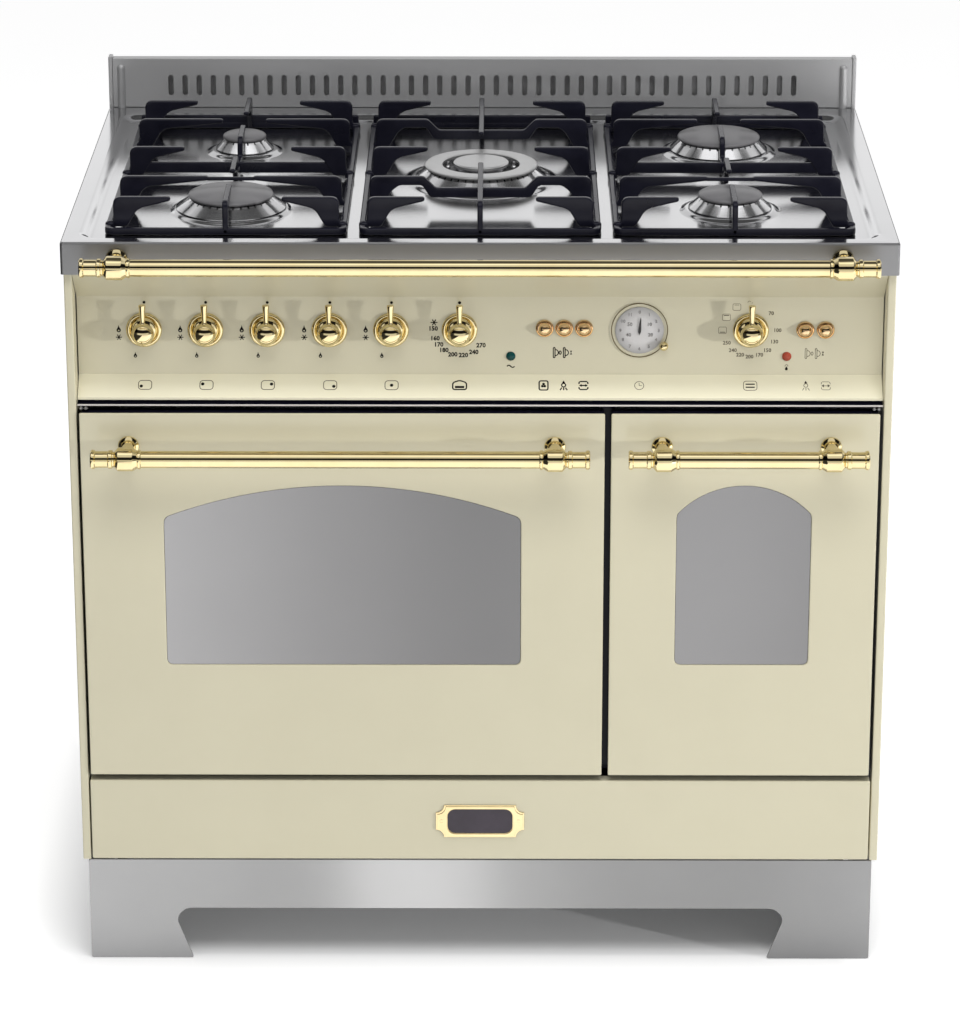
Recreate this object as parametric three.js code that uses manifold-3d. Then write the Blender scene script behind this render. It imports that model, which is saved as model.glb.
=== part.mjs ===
// Range cooker, 900 mm wide, with a five-burner gas hob, two ovens and a storage drawer.
// Millimetres. X runs to the cooker's right as seen from the front, Y to the back, Z up from the floor.
// Y = 0 is the middle of the 600 mm deep hob; the whole group is shifted at the end so that the
// origin lies on the floor under the middle of the overall footprint.

import * as THREE from 'three';
import { mergeVertices } from 'three/addons/utils/BufferGeometryUtils.js';
import Module from 'manifold-3d';

const wasm = await Module();
wasm.setup();

// ---------------------------------------------------------------- driving dimensions

const GAP = 0.3; // clearance between pieces that touch
const SHEET = 2; // folded sheet thickness

// hob
const HOB_HALF_WIDTH = 450;
const HOB_FRONT = -300;
const HOB_BACK = 284;
const BACK_PLANE = 300;
const HOB_TOP = 850;
const HOB_LIP = 36;
const HOB_UNDERSIDE = HOB_TOP - HOB_LIP;
const RIM = 17; // width of the raised rim
const WELL_DEPTH = 6;
const WELL_FLOOR = HOB_TOP - WELL_DEPTH;
const WELL_BACK = 256;
const WELL_SLOPE = 7;
const BURNER_SEAT = WELL_FLOOR + 3; // top of the pressed seat round each burner
const BACKGUARD_HEIGHT = 60;
const SLOT_COUNT = 45;
const SLOT_PITCH = 17.04;
const SLOT_WIDTH = 6.4;
const SLOT_BOTTOM = HOB_TOP + 14.7;
const SLOT_TOP = HOB_TOP + 40;

// burners: place, cap radius, skirt radius at the hob and at the cap, radius of the pressed seat
const BURNER_X = 275.5;
const FRONT_BURNER_Y = -149;
const REAR_BURNER_Y = 102.5;
const CENTRE_BURNER_Y = -21.5;
const BURNERS = [
  { name: 'front_left', x: -BURNER_X, y: FRONT_BURNER_Y, cap: 48, skirt: 58.5, crown: 45.5, seat: 67.5 },
  { name: 'rear_left', x: -BURNER_X, y: REAR_BURNER_Y, cap: 25.2, skirt: 33.5, crown: 23.5, seat: 45 },
  { name: 'front_right', x: BURNER_X, y: FRONT_BURNER_Y, cap: 35.5, skirt: 45, crown: 33.5, seat: 56 },
  { name: 'rear_right', x: BURNER_X, y: REAR_BURNER_Y, cap: 47.7, skirt: 56.6, crown: 45.5, seat: 67.3 },
];
const CENTRE_BURNER = { cap: 31.3, ringInner: 43.9, ringOuter: 64, skirt: 74, crown: 61, seat: 88 };
const CUP_RATIO = 0.6; // burner cup radius as a share of the skirt radius
const CUP_BOTTOM = 812;
const CROWN_TOP = 859.5;

// pan supports
const SUPPORT_PITCH = 275.5;
const SUPPORT_Y = -20.5;
const SUPPORT_HALF_WIDTH = 131;
const SUPPORT_HALF_DEPTH = 232.5;
const SUPPORT_FOOT = WELL_FLOOR + GAP;
const SUPPORT_TOP = 882;
const BAR = 7; // section of the perimeter bars and thickness of the finger plates
const BAR_TOP = SUPPORT_FOOT + 7.7;
const CROSS_BAR_BOTTOM = 851.5;
const CROSS_BAR_TOP = 864;
const BACK_BAR_TOP = 860;
const LEG_HALF_SPAN = 122.5;
const ROW_NEAR = 125.5;
const ROW_FAR = 210.5;
const SPINE = 6;

// body
const SIDE_HALF_WIDTH = 448;
const SIDE_INNER = 439; // inner edge of the folded front flange
const BODY_FRONT = -290;
const BODY_BOTTOM = 122.6;
const BODY_BACK = 296;
const FLANGE_RETURN = 28;

// control panel: a trough of three facets
const PANEL_HALF_WIDTH = 438.5;
const PANEL_TOP = 811;
const PANEL_UPPER_FOLD = 776;
const PANEL_LOWER_FOLD = 685;
const PANEL_BOTTOM = 661;
const PANEL_FACE = -255;
const PANEL_LIP_FRONT = -277;
const CONTROL_Z = 738.5;
const GAS_KNOB_X = [-366, -299, -232, -164, -97];
const THERMOSTAT_KNOB_X = -22.3;
const SELECTOR_KNOB_X = 294.7;
const KNOB_RADIUS = 19.5;
const KNOB_BALL_RADIUS = 12.5;
const KNOB_BALL_OUT = 13.5;
const KNOB_POINTER_REACH = 29.5;
const SHAFT_RADIUS = 4;
const BUTTON_X = [70.3, 91.6, 113.2, 353.9, 376.1];
const BUTTON_Z = [740.5, 740.5, 740.5, 739, 739];
const BUTTON_RADIUS = 7.8;
const BUTTON_BEZEL_RADIUS = 9.7;
const LAMP_X = [33.5, 334.4];
const LAMP_Z = 708.7;
const LAMP_RADIUS = 4.2;
const TIMER_X = 173.6;
const DIAL_RADIUS = 26.5;
const TIMER_RING_RADIUS = 31;
const TIMER_BALL_RADIUS = 5;
const TIMER_BALL_ANGLE = -32;

// ovens and doors
const DOOR_FRONT = -293;
const DOOR_TOP = 654.5;
const DOOR_BOTTOM = 227.5;
const DOOR_TRAY_DEPTH = 23;
const DOORS = {
  left: { x0: -436, x1: 136, window: { x0: -347, x1: 45, z0: 360.5, side: 534, crown: 571.5 } },
  right: { x0: 143, x1: 435, window: { x0: 215.5, x1: 363.5, z0: 361, side: 538, crown: 572 } },
};
const WINDOW_CORNER = 8;
const OVENS = {
  left: { x0: -383, x1: 83, flangeX0: -432, flangeX1: 131.5 },
  right: { x0: 190, x1: 388, flangeX0: 147.5, flangeX1: 432 },
};
const OVEN_FLOOR = 262;
const OVEN_ROOF = 600;
const OVEN_BACK = 200;
const OVEN_WALL = 3;
const OVEN_FLANGE_FRONT = -266;
const LEDGE_Z = [350, 456];
const RACK_WIRE = 4;

// brass rails: axis height and distance in front of what carries them
const RAIL_AXIS_OUT = 35;
const RAIL_Z = 832;
const HANDLE_AXIS_OUT = 45;
const HANDLE_Z = 617.5;
const RAIL_RADIUS = 9;
const BARREL_RADIUS = 13;
const RAILS = {
  hob: { centre: 0, half: 426, post: 389 },
  left: { centre: -150.5, half: 269.5, post: 232.2 },
  right: { centre: 290.5, half: 130, post: 92 },
};

// drawer, plinth, feet
const DRAWER_TOP = 220;
const DRAWER_BOTTOM = 124.5;
const DRAWER_FRONT = -291;
const DRAWER_HALF_WIDTH = 437.3;
const SHELF_TOP = 225;
const PLINTH_HALF_WIDTH = 442;
const PLINTH_TOP = 122.3;
const ARCH_TOP = 62;
const ARCH_HALF_TOP = 329;
const ARCH_HALF_NOTCH = 343;
const ARCH_NOTCH_Z = 46.5;
const ARCH_HALF_FOOT = 325.5;

// the footprint's middle, from the front of the door handle barrels to the back plane
const FRONT_PLANE = DOOR_FRONT - HANDLE_AXIS_OUT - BARREL_RADIUS;
const CENTRE_SHIFT = -(FRONT_PLANE + BACK_PLANE) / 2;

// ---------------------------------------------------------------- materials

const finish = (color, metalness, roughness) => new THREE.MeshStandardMaterial({ color, metalness, roughness });
const cream = finish(0xcfc8ac, 0, 0.3);
const stainless = finish(0xb4b4b6, 1, 0.32);
const brass = finish(0xe6cf7a, 1, 0.12);
const roseBrass = finish(0xe2b184, 1, 0.15);
const castIron = finish(0x25252c, 0.1, 0.45);
const alloy = finish(0xc4c4c6, 1, 0.25);
const blackEnamel = finish(0x1c1c20, 0, 0.3);
const greyEnamel = finish(0x3a3c44, 0, 0.4);
const galvanised = finish(0x9da1a3, 0.8, 0.5);
const mirrorGlass = finish(0x9c9a9c, 0.4, 0.08);
const chromeWire = finish(0xc0c0c4, 1, 0.2);
const dialFace = finish(0xc9c6c4, 0, 0.4);
const needleBlack = finish(0x2a2524, 0, 0.5);
const tealLens = finish(0x0d6f6a, 0, 0.2);
const redLens = finish(0xb8452c, 0, 0.2);

// ---------------------------------------------------------------- geometry helpers

// A closed mesh as a solid that can be joined and cut: shared corners merged, empty triangles dropped.
function solid(geometry) {
  const bare = geometry.clone();
  bare.deleteAttribute('normal');
  bare.deleteAttribute('uv');
  const merged = mergeVertices(bare, 1e-4);
  const corners = merged.index.array;
  const kept = [];
  for (let i = 0; i < corners.length; i += 3) {
    const [a, b, c] = [corners[i], corners[i + 1], corners[i + 2]];
    if (a !== b && b !== c && a !== c) {
      kept.push(a, b, c);
    }
  }
  const mesh = new wasm.Mesh({
    numProp: 3,
    vertProperties: new Float32Array(merged.attributes.position.array),
    triVerts: new Uint32Array(kept),
  });
  return new wasm.Manifold(mesh);
}

// A solid back as a geometry with flat facets.
function geometryOf(body) {
  const { vertProperties, triVerts } = body.getMesh();
  const geometry = new THREE.BufferGeometry();
  geometry.setAttribute('position', new THREE.BufferAttribute(new Float32Array(vertProperties), 3));
  geometry.setIndex(new THREE.BufferAttribute(new Uint32Array(triVerts), 1));
  geometry.computeVertexNormals();
  return geometry;
}

const joined = (bodies) => bodies.reduce((whole, body) => whole.add(body));

function box(x0, x1, y0, y1, z0, z1) {
  const geometry = new THREE.BoxGeometry(x1 - x0, y1 - y0, z1 - z0);
  return solid(geometry.translate((x0 + x1) / 2, (y0 + y1) / 2, (z0 + z1) / 2));
}

const outline = (points) => new THREE.Shape(points.map(([a, b]) => new THREE.Vector2(a, b)));

function extruded(shape, depth, curveSegments) {
  return new THREE.ExtrudeGeometry(shape, { depth, bevelEnabled: false, curveSegments });
}

// An outline drawn in X and Z, as a plate from y0 to y1.
function plateFacingFront(shape, y0, y1, curveSegments = 8) {
  const geometry = extruded(shape, y1 - y0, curveSegments);
  return solid(geometry.rotateX(Math.PI / 2).translate(0, y1, 0));
}

// An outline drawn in Y and Z, run along X from x0 to x1.
function sectionAlongX(shape, x0, x1, curveSegments = 8) {
  const geometry = extruded(shape, x1 - x0, curveSegments);
  const turn = new THREE.Matrix4().makeBasis(
    new THREE.Vector3(0, 1, 0),
    new THREE.Vector3(0, 0, 1),
    new THREE.Vector3(1, 0, 0),
  );
  return solid(geometry.applyMatrix4(turn).translate(x0, 0, 0));
}

// An outline drawn in X and Y, run up from z0 to z1.
function sectionUpwards(shape, z0, z1) {
  return solid(extruded(shape, z1 - z0, 8).translate(0, 0, z0));
}

// A profile of [radius, height] pairs turned about the vertical line through x, y.
function turnedUpright(profile, x, y, segments) {
  const points = profile.map(([radius, height]) => new THREE.Vector2(radius, height));
  return solid(new THREE.LatheGeometry(points, segments).rotateX(Math.PI / 2).translate(x, y, 0));
}

// A profile of [radius, distance out] pairs turned about the line that leaves the face at y towards the front.
function turnedOutwards(profile, x, y, z, segments) {
  const points = profile.map(([radius, out]) => new THREE.Vector2(radius, out));
  return solid(new THREE.LatheGeometry(points, segments).rotateX(Math.PI).translate(x, y, z));
}

// A round bar along Y from y0 to y1.
function roundAlongY(radius, x, z, y0, y1, segments = 12) {
  const geometry = new THREE.CylinderGeometry(radius, radius, y1 - y0, segments);
  return solid(geometry.translate(x, (y0 + y1) / 2, z));
}

const group = new THREE.Group();

function place(name, body, material) {
  const mesh = new THREE.Mesh(geometryOf(body), material);
  mesh.name = name;
  group.add(mesh);
}

// ---------------------------------------------------------------- hob

// A rounded rectangle as a ring of corners at height z.
function roundedRing(x0, x1, y0, y1, radius, z, steps = 4) {
  const corners = [
    [x1 - radius, y1 - radius, 0],
    [x0 + radius, y1 - radius, 90],
    [x0 + radius, y0 + radius, 180],
    [x1 - radius, y0 + radius, 270],
  ];
  return corners.flatMap(([x, y, start]) =>
    Array.from({ length: steps + 1 }, (_, i) => {
      const angle = THREE.MathUtils.degToRad(start + (90 * i) / steps);
      return new THREE.Vector3(x + radius * Math.cos(angle), y + radius * Math.sin(angle), z);
    }),
  );
}

// The solid between two convex rings of equally many corners, the lower one first.
function betweenRings(lower, upper) {
  const count = lower.length;
  const positions = [...lower, ...upper].flatMap((p) => p.toArray());
  const index = [];
  for (let i = 0; i < count; i += 1) {
    const next = (i + 1) % count;
    index.push(i, next, count + next, i, count + next, count + i);
  }
  for (let i = 1; i < count - 1; i += 1) {
    index.push(0, i + 1, i, count, count + i, count + i + 1);
  }
  const geometry = new THREE.BufferGeometry();
  geometry.setAttribute('position', new THREE.Float32BufferAttribute(positions, 3));
  geometry.setIndex(index);
  return solid(geometry);
}

// Pressed stainless top: lip all round, raised rim, sunk well, a low seat and a hole at each burner.
function hobTop() {
  const skin = 3;
  const wellX = HOB_HALF_WIDTH - RIM;
  const wellFront = HOB_FRONT + RIM - 1;
  const blank = box(-HOB_HALF_WIDTH, HOB_HALF_WIDTH, HOB_FRONT, HOB_BACK - GAP, HOB_UNDERSIDE, HOB_TOP);
  const hollow = box(
    -HOB_HALF_WIDTH + skin,
    HOB_HALF_WIDTH - skin,
    HOB_FRONT + skin,
    HOB_BACK - GAP - skin,
    HOB_UNDERSIDE - 1,
    WELL_FLOOR - skin,
  );
  const well = betweenRings(
    roundedRing(-wellX + WELL_SLOPE, wellX - WELL_SLOPE, wellFront + WELL_SLOPE, WELL_BACK - WELL_SLOPE, 14, WELL_FLOOR),
    roundedRing(-wellX - 1, wellX + 1, wellFront - 1, WELL_BACK + 1, 20, HOB_TOP + 1),
  );
  let top = blank.subtract(hollow).subtract(well);
  const seats = [...BURNERS, { x: 0, y: CENTRE_BURNER_Y, ...CENTRE_BURNER }];
  for (const { x, y, skirt, seat } of seats) {
    const seatProfile = [
      [0, WELL_FLOOR - 1],
      [seat, WELL_FLOOR - 1],
      [seat, WELL_FLOOR],
      [skirt + 3, BURNER_SEAT],
      [0, BURNER_SEAT],
    ];
    const hole = skirt * CUP_RATIO + 0.5;
    top = top.add(turnedUpright(seatProfile, x, y, 32));
    top = top.subtract(turnedUpright([[0, 830], [hole, 830], [hole, 860], [0, 860]], x, y, 24));
  }
  return top;
}

// Slotted upstand behind the hob: front sheet, top flange, two end caps that stand a little proud.
function backguard() {
  const endCap = 5;
  const capRise = 2;
  const top = HOB_TOP + BACKGUARD_HEIGHT;
  const halfWidth = HOB_HALF_WIDTH - GAP;
  const sheet = outline([
    [-halfWidth + endCap, HOB_TOP + GAP],
    [halfWidth - endCap, HOB_TOP + GAP],
    [halfWidth - endCap, top],
    [-halfWidth + endCap, top],
  ]);
  const round = SLOT_WIDTH / 2;
  for (let i = 0; i < SLOT_COUNT; i += 1) {
    const x = (i - (SLOT_COUNT - 1) / 2) * SLOT_PITCH;
    const slot = new THREE.Path();
    slot.moveTo(x - round, SLOT_BOTTOM + round);
    slot.lineTo(x, SLOT_BOTTOM);
    slot.lineTo(x + round, SLOT_BOTTOM + round);
    slot.lineTo(x + round, SLOT_TOP - round);
    slot.lineTo(x, SLOT_TOP);
    slot.lineTo(x - round, SLOT_TOP - round);
    slot.closePath();
    sheet.holes.push(slot);
  }
  const pieces = [
    plateFacingFront(sheet, HOB_BACK, HOB_BACK + SHEET),
    box(-halfWidth + endCap, halfWidth - endCap, HOB_BACK, BACK_PLANE - SHEET, top - SHEET, top),
  ];
  for (const side of [-1, 1]) {
    const [a, b] = [side * (halfWidth - endCap), side * halfWidth].sort((p, q) => p - q);
    pieces.push(box(a, b, HOB_BACK, BACK_PLANE, HOB_TOP + GAP, top + capRise));
    const rib = [[0, HOB_TOP + 1], [5, HOB_TOP + 1], [5, top - 6], [0, top - 3]];
    pieces.push(turnedUpright(rib, side * 434.5, HOB_BACK + 1, 10));
  }
  return joined(pieces);
}

// ---------------------------------------------------------------- burners

// Cup hanging through the hob, with a flared skirt above it that carries the cap.
function burnerBody({ x, y, skirt, crown }) {
  const cup = skirt * CUP_RATIO;
  const profile = [
    [0, CUP_BOTTOM],
    [cup, CUP_BOTTOM],
    [cup, BURNER_SEAT + GAP],
    [skirt, BURNER_SEAT + GAP],
    [skirt, BURNER_SEAT + 2],
    [crown, CROWN_TOP],
    [0, CROWN_TOP],
  ];
  return turnedUpright(profile, x, y, 24);
}

function burnerCap({ x, y, cap }) {
  const base = CROWN_TOP + GAP;
  const profile = [
    [0, base],
    [cap - 1, base],
    [cap, base + 1.2],
    [cap, base + 2.6],
    [cap * 0.62, base + 6.6],
    [0, base + 8.5],
  ];
  return turnedUpright(profile, x, y, 24);
}

// Centre burner: an outer crown and an inner crown with an open channel between them.
function centreBurnerBody() {
  const { skirt, crown, ringInner } = CENTRE_BURNER;
  const cup = skirt * CUP_RATIO;
  const channelFloor = 852;
  const innerCrown = 29;
  const profile = [
    [0, CUP_BOTTOM],
    [cup, CUP_BOTTOM],
    [cup, BURNER_SEAT + GAP],
    [skirt, BURNER_SEAT + GAP],
    [skirt, BURNER_SEAT + 2],
    [crown, CROWN_TOP],
    [ringInner + 1.5, CROWN_TOP],
    [ringInner + 0.5, channelFloor],
    [innerCrown + 1, channelFloor],
    [innerCrown, CROWN_TOP + 2],
    [0, CROWN_TOP + 2],
  ];
  return turnedUpright(profile, 0, CENTRE_BURNER_Y, 32);
}

function centreRing() {
  const { ringInner, ringOuter } = CENTRE_BURNER;
  const base = CROWN_TOP + GAP;
  const profile = [
    [ringInner, base],
    [ringOuter - 1, base],
    [ringOuter, base + 1],
    [ringOuter - 1, base + 3.4],
    [ringInner, base + 3.4],
    [ringInner, base],
  ];
  return turnedUpright(profile, 0, CENTRE_BURNER_Y, 32);
}

function centreCap() {
  const { cap } = CENTRE_BURNER;
  const base = CROWN_TOP + 2 + GAP;
  const profile = [[0, base], [cap, base], [cap, base + 2.4], [cap - 3, base + 4], [0, base + 4.4]];
  return turnedUpright(profile, 0, CENTRE_BURNER_Y, 24);
}

// ---------------------------------------------------------------- pan supports

// A row plate from its leg at the left to its tip, as an outline in X and Z; side = 1 mirrors it.
function fingerOutline(centre, side, reach) {
  const legFoot = CROSS_BAR_BOTTOM - 3;
  const at = (inward) => centre + side * (LEG_HALF_SPAN - inward);
  return outline([
    [at(-4), legFoot],
    [at(-4), BAR_TOP],
    [at(0), BAR_TOP + 4],
    [at(0), SUPPORT_TOP - 6],
    [at(2), SUPPORT_TOP - 2],
    [at(6), SUPPORT_TOP],
    [at(reach), SUPPORT_TOP],
    [at(reach), SUPPORT_TOP - 4.5],
    [at(31), SUPPORT_TOP - 12],
    [at(25), SUPPORT_TOP - 16],
    [at(15), legFoot],
  ]);
}

// The middle support's long rows run from side to side and dip in front of and behind the burner.
function dippedRowOutline(centre) {
  const legFoot = CROSS_BAR_BOTTOM - 3;
  const dip = SUPPORT_TOP - 13;
  const half = [
    [-4, legFoot],
    [-4, BAR_TOP],
    [0, BAR_TOP + 4],
    [0, SUPPORT_TOP - 6],
    [2, SUPPORT_TOP - 2],
    [6, SUPPORT_TOP],
    [60, SUPPORT_TOP],
    [73, dip],
  ];
  const under = [
    [67, dip - 11],
    [58, SUPPORT_TOP - 10],
    [33, SUPPORT_TOP - 10],
    [25, SUPPORT_TOP - 16],
    [15, legFoot],
  ];
  const onSide = (side) => ([inward, z]) => [centre + side * (LEG_HALF_SPAN - inward), z];
  return outline([
    ...half.map(onSide(-1)),
    ...half.map(onSide(1)).reverse(),
    ...under.map(onSide(1)).reverse(),
    ...under.map(onSide(-1)),
  ]);
}

// A fore-and-aft spine that rises from an end bar and points at a burner; end = -1 at the front, 1 behind.
function endSpineOutline(end, tip) {
  const at = (inward) => SUPPORT_Y + end * (SUPPORT_HALF_DEPTH - inward);
  return outline([
    [at(0), SUPPORT_FOOT],
    [at(0), SUPPORT_TOP - 6],
    [at(2), SUPPORT_TOP - 2],
    [at(6), SUPPORT_TOP],
    [at(tip), SUPPORT_TOP],
    [at(tip), SUPPORT_TOP - 4.5],
    [at(31), SUPPORT_TOP - 11],
    [at(21), SUPPORT_TOP - 18],
    [at(13), SUPPORT_FOOT],
  ]);
}

// The two spines on the cross bar, one to each burner, with a low web between them.
function middleSpineOutline() {
  const web = CROSS_BAR_BOTTOM - 1.5;
  const half = [
    [99, SUPPORT_TOP],
    [44, SUPPORT_TOP],
    [38, SUPPORT_TOP - 6],
    [34, CROSS_BAR_TOP - 3],
  ];
  const under = [
    [99, SUPPORT_TOP - 4.5],
    [62, SUPPORT_TOP - 12],
    [52, SUPPORT_TOP - 20],
    [42, web],
  ];
  const onEnd = (end) => ([out, z]) => [SUPPORT_Y + end * out, z];
  return outline([
    ...half.map(onEnd(-1)),
    ...half.map(onEnd(1)).reverse(),
    ...under.map(onEnd(1)),
    ...under.map(onEnd(-1)).reverse(),
  ]);
}

function panSupport(centre, overOneBurner) {
  const [x0, x1] = [centre - SUPPORT_HALF_WIDTH, centre + SUPPORT_HALF_WIDTH];
  const [y0, y1] = [SUPPORT_Y - SUPPORT_HALF_DEPTH, SUPPORT_Y + SUPPORT_HALF_DEPTH];
  const row = (shape, y) => plateFacingFront(shape, y - BAR / 2, y + BAR / 2);
  const spine = (shape) => sectionAlongX(shape, centre - SPINE / 2, centre + SPINE / 2);
  const pieces = [
    box(x0, x1, y0, y0 + BAR, SUPPORT_FOOT, BAR_TOP),
    box(x0, x1, y1 - BAR, y1, SUPPORT_FOOT, BACK_BAR_TOP),
    box(x0, x0 + BAR, y0, y1, SUPPORT_FOOT, BAR_TOP),
    box(x1 - BAR, x1, y0, y1, SUPPORT_FOOT, BAR_TOP),
  ];
  const shortReach = 62;
  for (const side of [-1, 1]) {
    pieces.push(row(fingerOutline(centre, side, shortReach), SUPPORT_Y - ROW_FAR));
    pieces.push(row(fingerOutline(centre, side, shortReach), SUPPORT_Y));
    pieces.push(row(fingerOutline(centre, side, shortReach), SUPPORT_Y + ROW_FAR));
  }
  if (overOneBurner) {
    const reach = SUPPORT_HALF_DEPTH - 65;
    pieces.push(row(dippedRowOutline(centre), SUPPORT_Y - ROW_NEAR));
    pieces.push(row(dippedRowOutline(centre), SUPPORT_Y + ROW_NEAR));
    pieces.push(spine(endSpineOutline(-1, reach)), spine(endSpineOutline(1, reach)));
  } else {
    const longReach = LEG_HALF_SPAN - 25;
    for (const side of [-1, 1]) {
      pieces.push(row(fingerOutline(centre, side, longReach), SUPPORT_Y - ROW_NEAR));
      pieces.push(row(fingerOutline(centre, side, longReach), SUPPORT_Y + ROW_NEAR));
    }
    const linkY = SUPPORT_Y - ROW_NEAR;
    pieces.push(box(centre - 27, centre + 27, linkY - 1, linkY + 3, SUPPORT_TOP - 5.5, SUPPORT_TOP - 1.5));
    const cross = SUPPORT_Y - BAR / 2;
    pieces.push(box(centre - 112, centre + 112, cross, cross + BAR, CROSS_BAR_BOTTOM, CROSS_BAR_TOP));
    pieces.push(spine(middleSpineOutline()));
    pieces.push(spine(endSpineOutline(-1, 76)), spine(endSpineOutline(1, 76)));
  }
  return joined(pieces);
}

// ---------------------------------------------------------------- brass rails

// A bar on two stand-offs: bar with end caps, a barrel at each stand-off, a rosette on what carries it.
function brassRail({ centre, half, post }, y, z, out) {
  const axisY = y - out;
  const barrelHalf = 12;
  const collar = BARREL_RADIUS - 2.5;
  const endSide = [
    [0, half],
    [RAIL_RADIUS, half],
    [RAIL_RADIUS, half - 5],
    [RAIL_RADIUS - 1.5, half - 5.5],
    [RAIL_RADIUS - 1.5, half - 19],
    [collar, half - 19.5],
    [collar, half - 24],
    [BARREL_RADIUS, post + barrelHalf - 2],
    [BARREL_RADIUS, post - barrelHalf + 2],
    [RAIL_RADIUS, post - barrelHalf - 1],
  ];
  const profile = [...endSide, ...endSide.map(([r, x]) => [r, -x]).reverse()];
  const points = profile.map(([r, x]) => new THREE.Vector2(r, -x));
  const bar = new THREE.LatheGeometry(points, 14).rotateZ(-Math.PI / 2).translate(centre, axisY, z);
  const pieces = [solid(bar)];
  for (const side of [-1, 1]) {
    const standOff = [
      [0, GAP],
      [9.8, GAP],
      [9.8, 3],
      [6, 6],
      [6, out - 14],
      [8, out - 9],
      [8, out],
      [0, out],
    ];
    pieces.push(turnedOutwards(standOff, centre + side * post, y, z, 12));
  }
  return joined(pieces);
}

// ---------------------------------------------------------------- controls

// Folded cream sheet with holes for the shafts, buttons, lamps and timer, and a raised bezel at each button.
function controlPanel() {
  const front = [
    [BODY_FRONT, PANEL_TOP],
    [BODY_FRONT, PANEL_TOP - 2],
    [PANEL_FACE, PANEL_UPPER_FOLD],
    [PANEL_FACE, PANEL_LOWER_FOLD],
    [PANEL_LIP_FRONT, PANEL_BOTTOM + 3],
    [PANEL_LIP_FRONT, PANEL_BOTTOM],
  ];
  const back = [
    [PANEL_LIP_FRONT + SHEET, PANEL_BOTTOM],
    [PANEL_LIP_FRONT + SHEET, PANEL_BOTTOM + 2],
    [PANEL_FACE + SHEET, PANEL_LOWER_FOLD - 1],
    [PANEL_FACE + SHEET, PANEL_UPPER_FOLD + 1],
    [BODY_FRONT + SHEET, PANEL_TOP - 1.2],
    [BODY_FRONT + SHEET, PANEL_TOP],
  ];
  let panel = sectionAlongX(outline([...front, ...back]), -PANEL_HALF_WIDTH, PANEL_HALF_WIDTH);
  const through = (radius, x, z, segments = 12) =>
    roundAlongY(radius, x, z, PANEL_FACE - 10, PANEL_FACE + 10, segments);
  BUTTON_X.forEach((x, i) => {
    const bezel = roundAlongY(BUTTON_BEZEL_RADIUS, x, BUTTON_Z[i], PANEL_FACE - 2.5, PANEL_FACE + 1, 16);
    panel = panel.add(bezel).subtract(through(BUTTON_RADIUS + 0.4, x, BUTTON_Z[i]));
  });
  for (const x of [...GAS_KNOB_X, THERMOSTAT_KNOB_X, SELECTOR_KNOB_X]) {
    panel = panel.subtract(through(SHAFT_RADIUS + 0.5, x, CONTROL_Z));
  }
  for (const x of LAMP_X) {
    panel = panel.subtract(through(LAMP_RADIUS + GAP, x, LAMP_Z));
  }
  return panel.subtract(through(DIAL_RADIUS - 3, TIMER_X, CONTROL_Z, 24));
}

// Flanged base, a ball in front of it and a tapered pointer standing up from the ball.
function knob(x) {
  const steps = 4;
  const ball = Array.from({ length: steps + 1 }, (_, i) => {
    const angle = THREE.MathUtils.degToRad(-38 + (128 * i) / steps);
    const radius = i === steps ? 0 : KNOB_BALL_RADIUS * Math.cos(angle);
    return [radius, KNOB_BALL_OUT + KNOB_BALL_RADIUS * Math.sin(angle)];
  });
  const profile = [
    [0, -7],
    [SHAFT_RADIUS, -7],
    [SHAFT_RADIUS, 0.5],
    [KNOB_RADIUS - 0.8, 0.5],
    [KNOB_RADIUS, 1.6],
    [KNOB_RADIUS - 1.5, 3.6],
    [KNOB_RADIUS - 6, 4.6],
    ...ball,
  ];
  const pointerFoot = KNOB_BALL_RADIUS - 3;
  const pointer = new THREE.CylinderGeometry(3.8, 2.1, KNOB_POINTER_REACH - pointerFoot, 8);
  pointer.rotateX(Math.PI / 2);
  pointer.translate(x, PANEL_FACE - KNOB_BALL_OUT, CONTROL_Z + (KNOB_POINTER_REACH + pointerFoot) / 2);
  return turnedOutwards(profile, x, PANEL_FACE, CONTROL_Z, 16).add(solid(pointer));
}

function button(x, z) {
  const profile = [[0, -9], [BUTTON_RADIUS, -9], [BUTTON_RADIUS, 4.5], [6, 7.5], [3, 8.8], [0, 9.2]];
  return turnedOutwards(profile, x, PANEL_FACE, z, 14);
}

function lamp(x) {
  const profile = [[0, -6], [LAMP_RADIUS, -6], [LAMP_RADIUS, 1.5], [2.6, 3], [0, 3.5]];
  return turnedOutwards(profile, x, PANEL_FACE, LAMP_Z, 12);
}

function timerDial() {
  const spigot = DIAL_RADIUS - 3 - GAP;
  const profile = [[0, -16], [spigot, -16], [spigot, GAP], [DIAL_RADIUS, GAP], [DIAL_RADIUS, 3], [0, 3]];
  return turnedOutwards(profile, TIMER_X, PANEL_FACE, CONTROL_Z, 24);
}

// Flat annulus round the dial with the ball that it is turned by.
function timerRing() {
  const inner = DIAL_RADIUS + GAP;
  const profile = [[inner, GAP], [TIMER_RING_RADIUS, GAP], [TIMER_RING_RADIUS, 3.5], [inner, 3.5], [inner, GAP]];
  const angle = THREE.MathUtils.degToRad(TIMER_BALL_ANGLE);
  const ball = new THREE.SphereGeometry(TIMER_BALL_RADIUS, 10, 8);
  ball.translate(
    TIMER_X + TIMER_RING_RADIUS * Math.cos(angle),
    PANEL_FACE - 6.5,
    CONTROL_Z + TIMER_RING_RADIUS * Math.sin(angle),
  );
  return turnedOutwards(profile, TIMER_X, PANEL_FACE, CONTROL_Z, 24).add(solid(ball));
}

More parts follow.
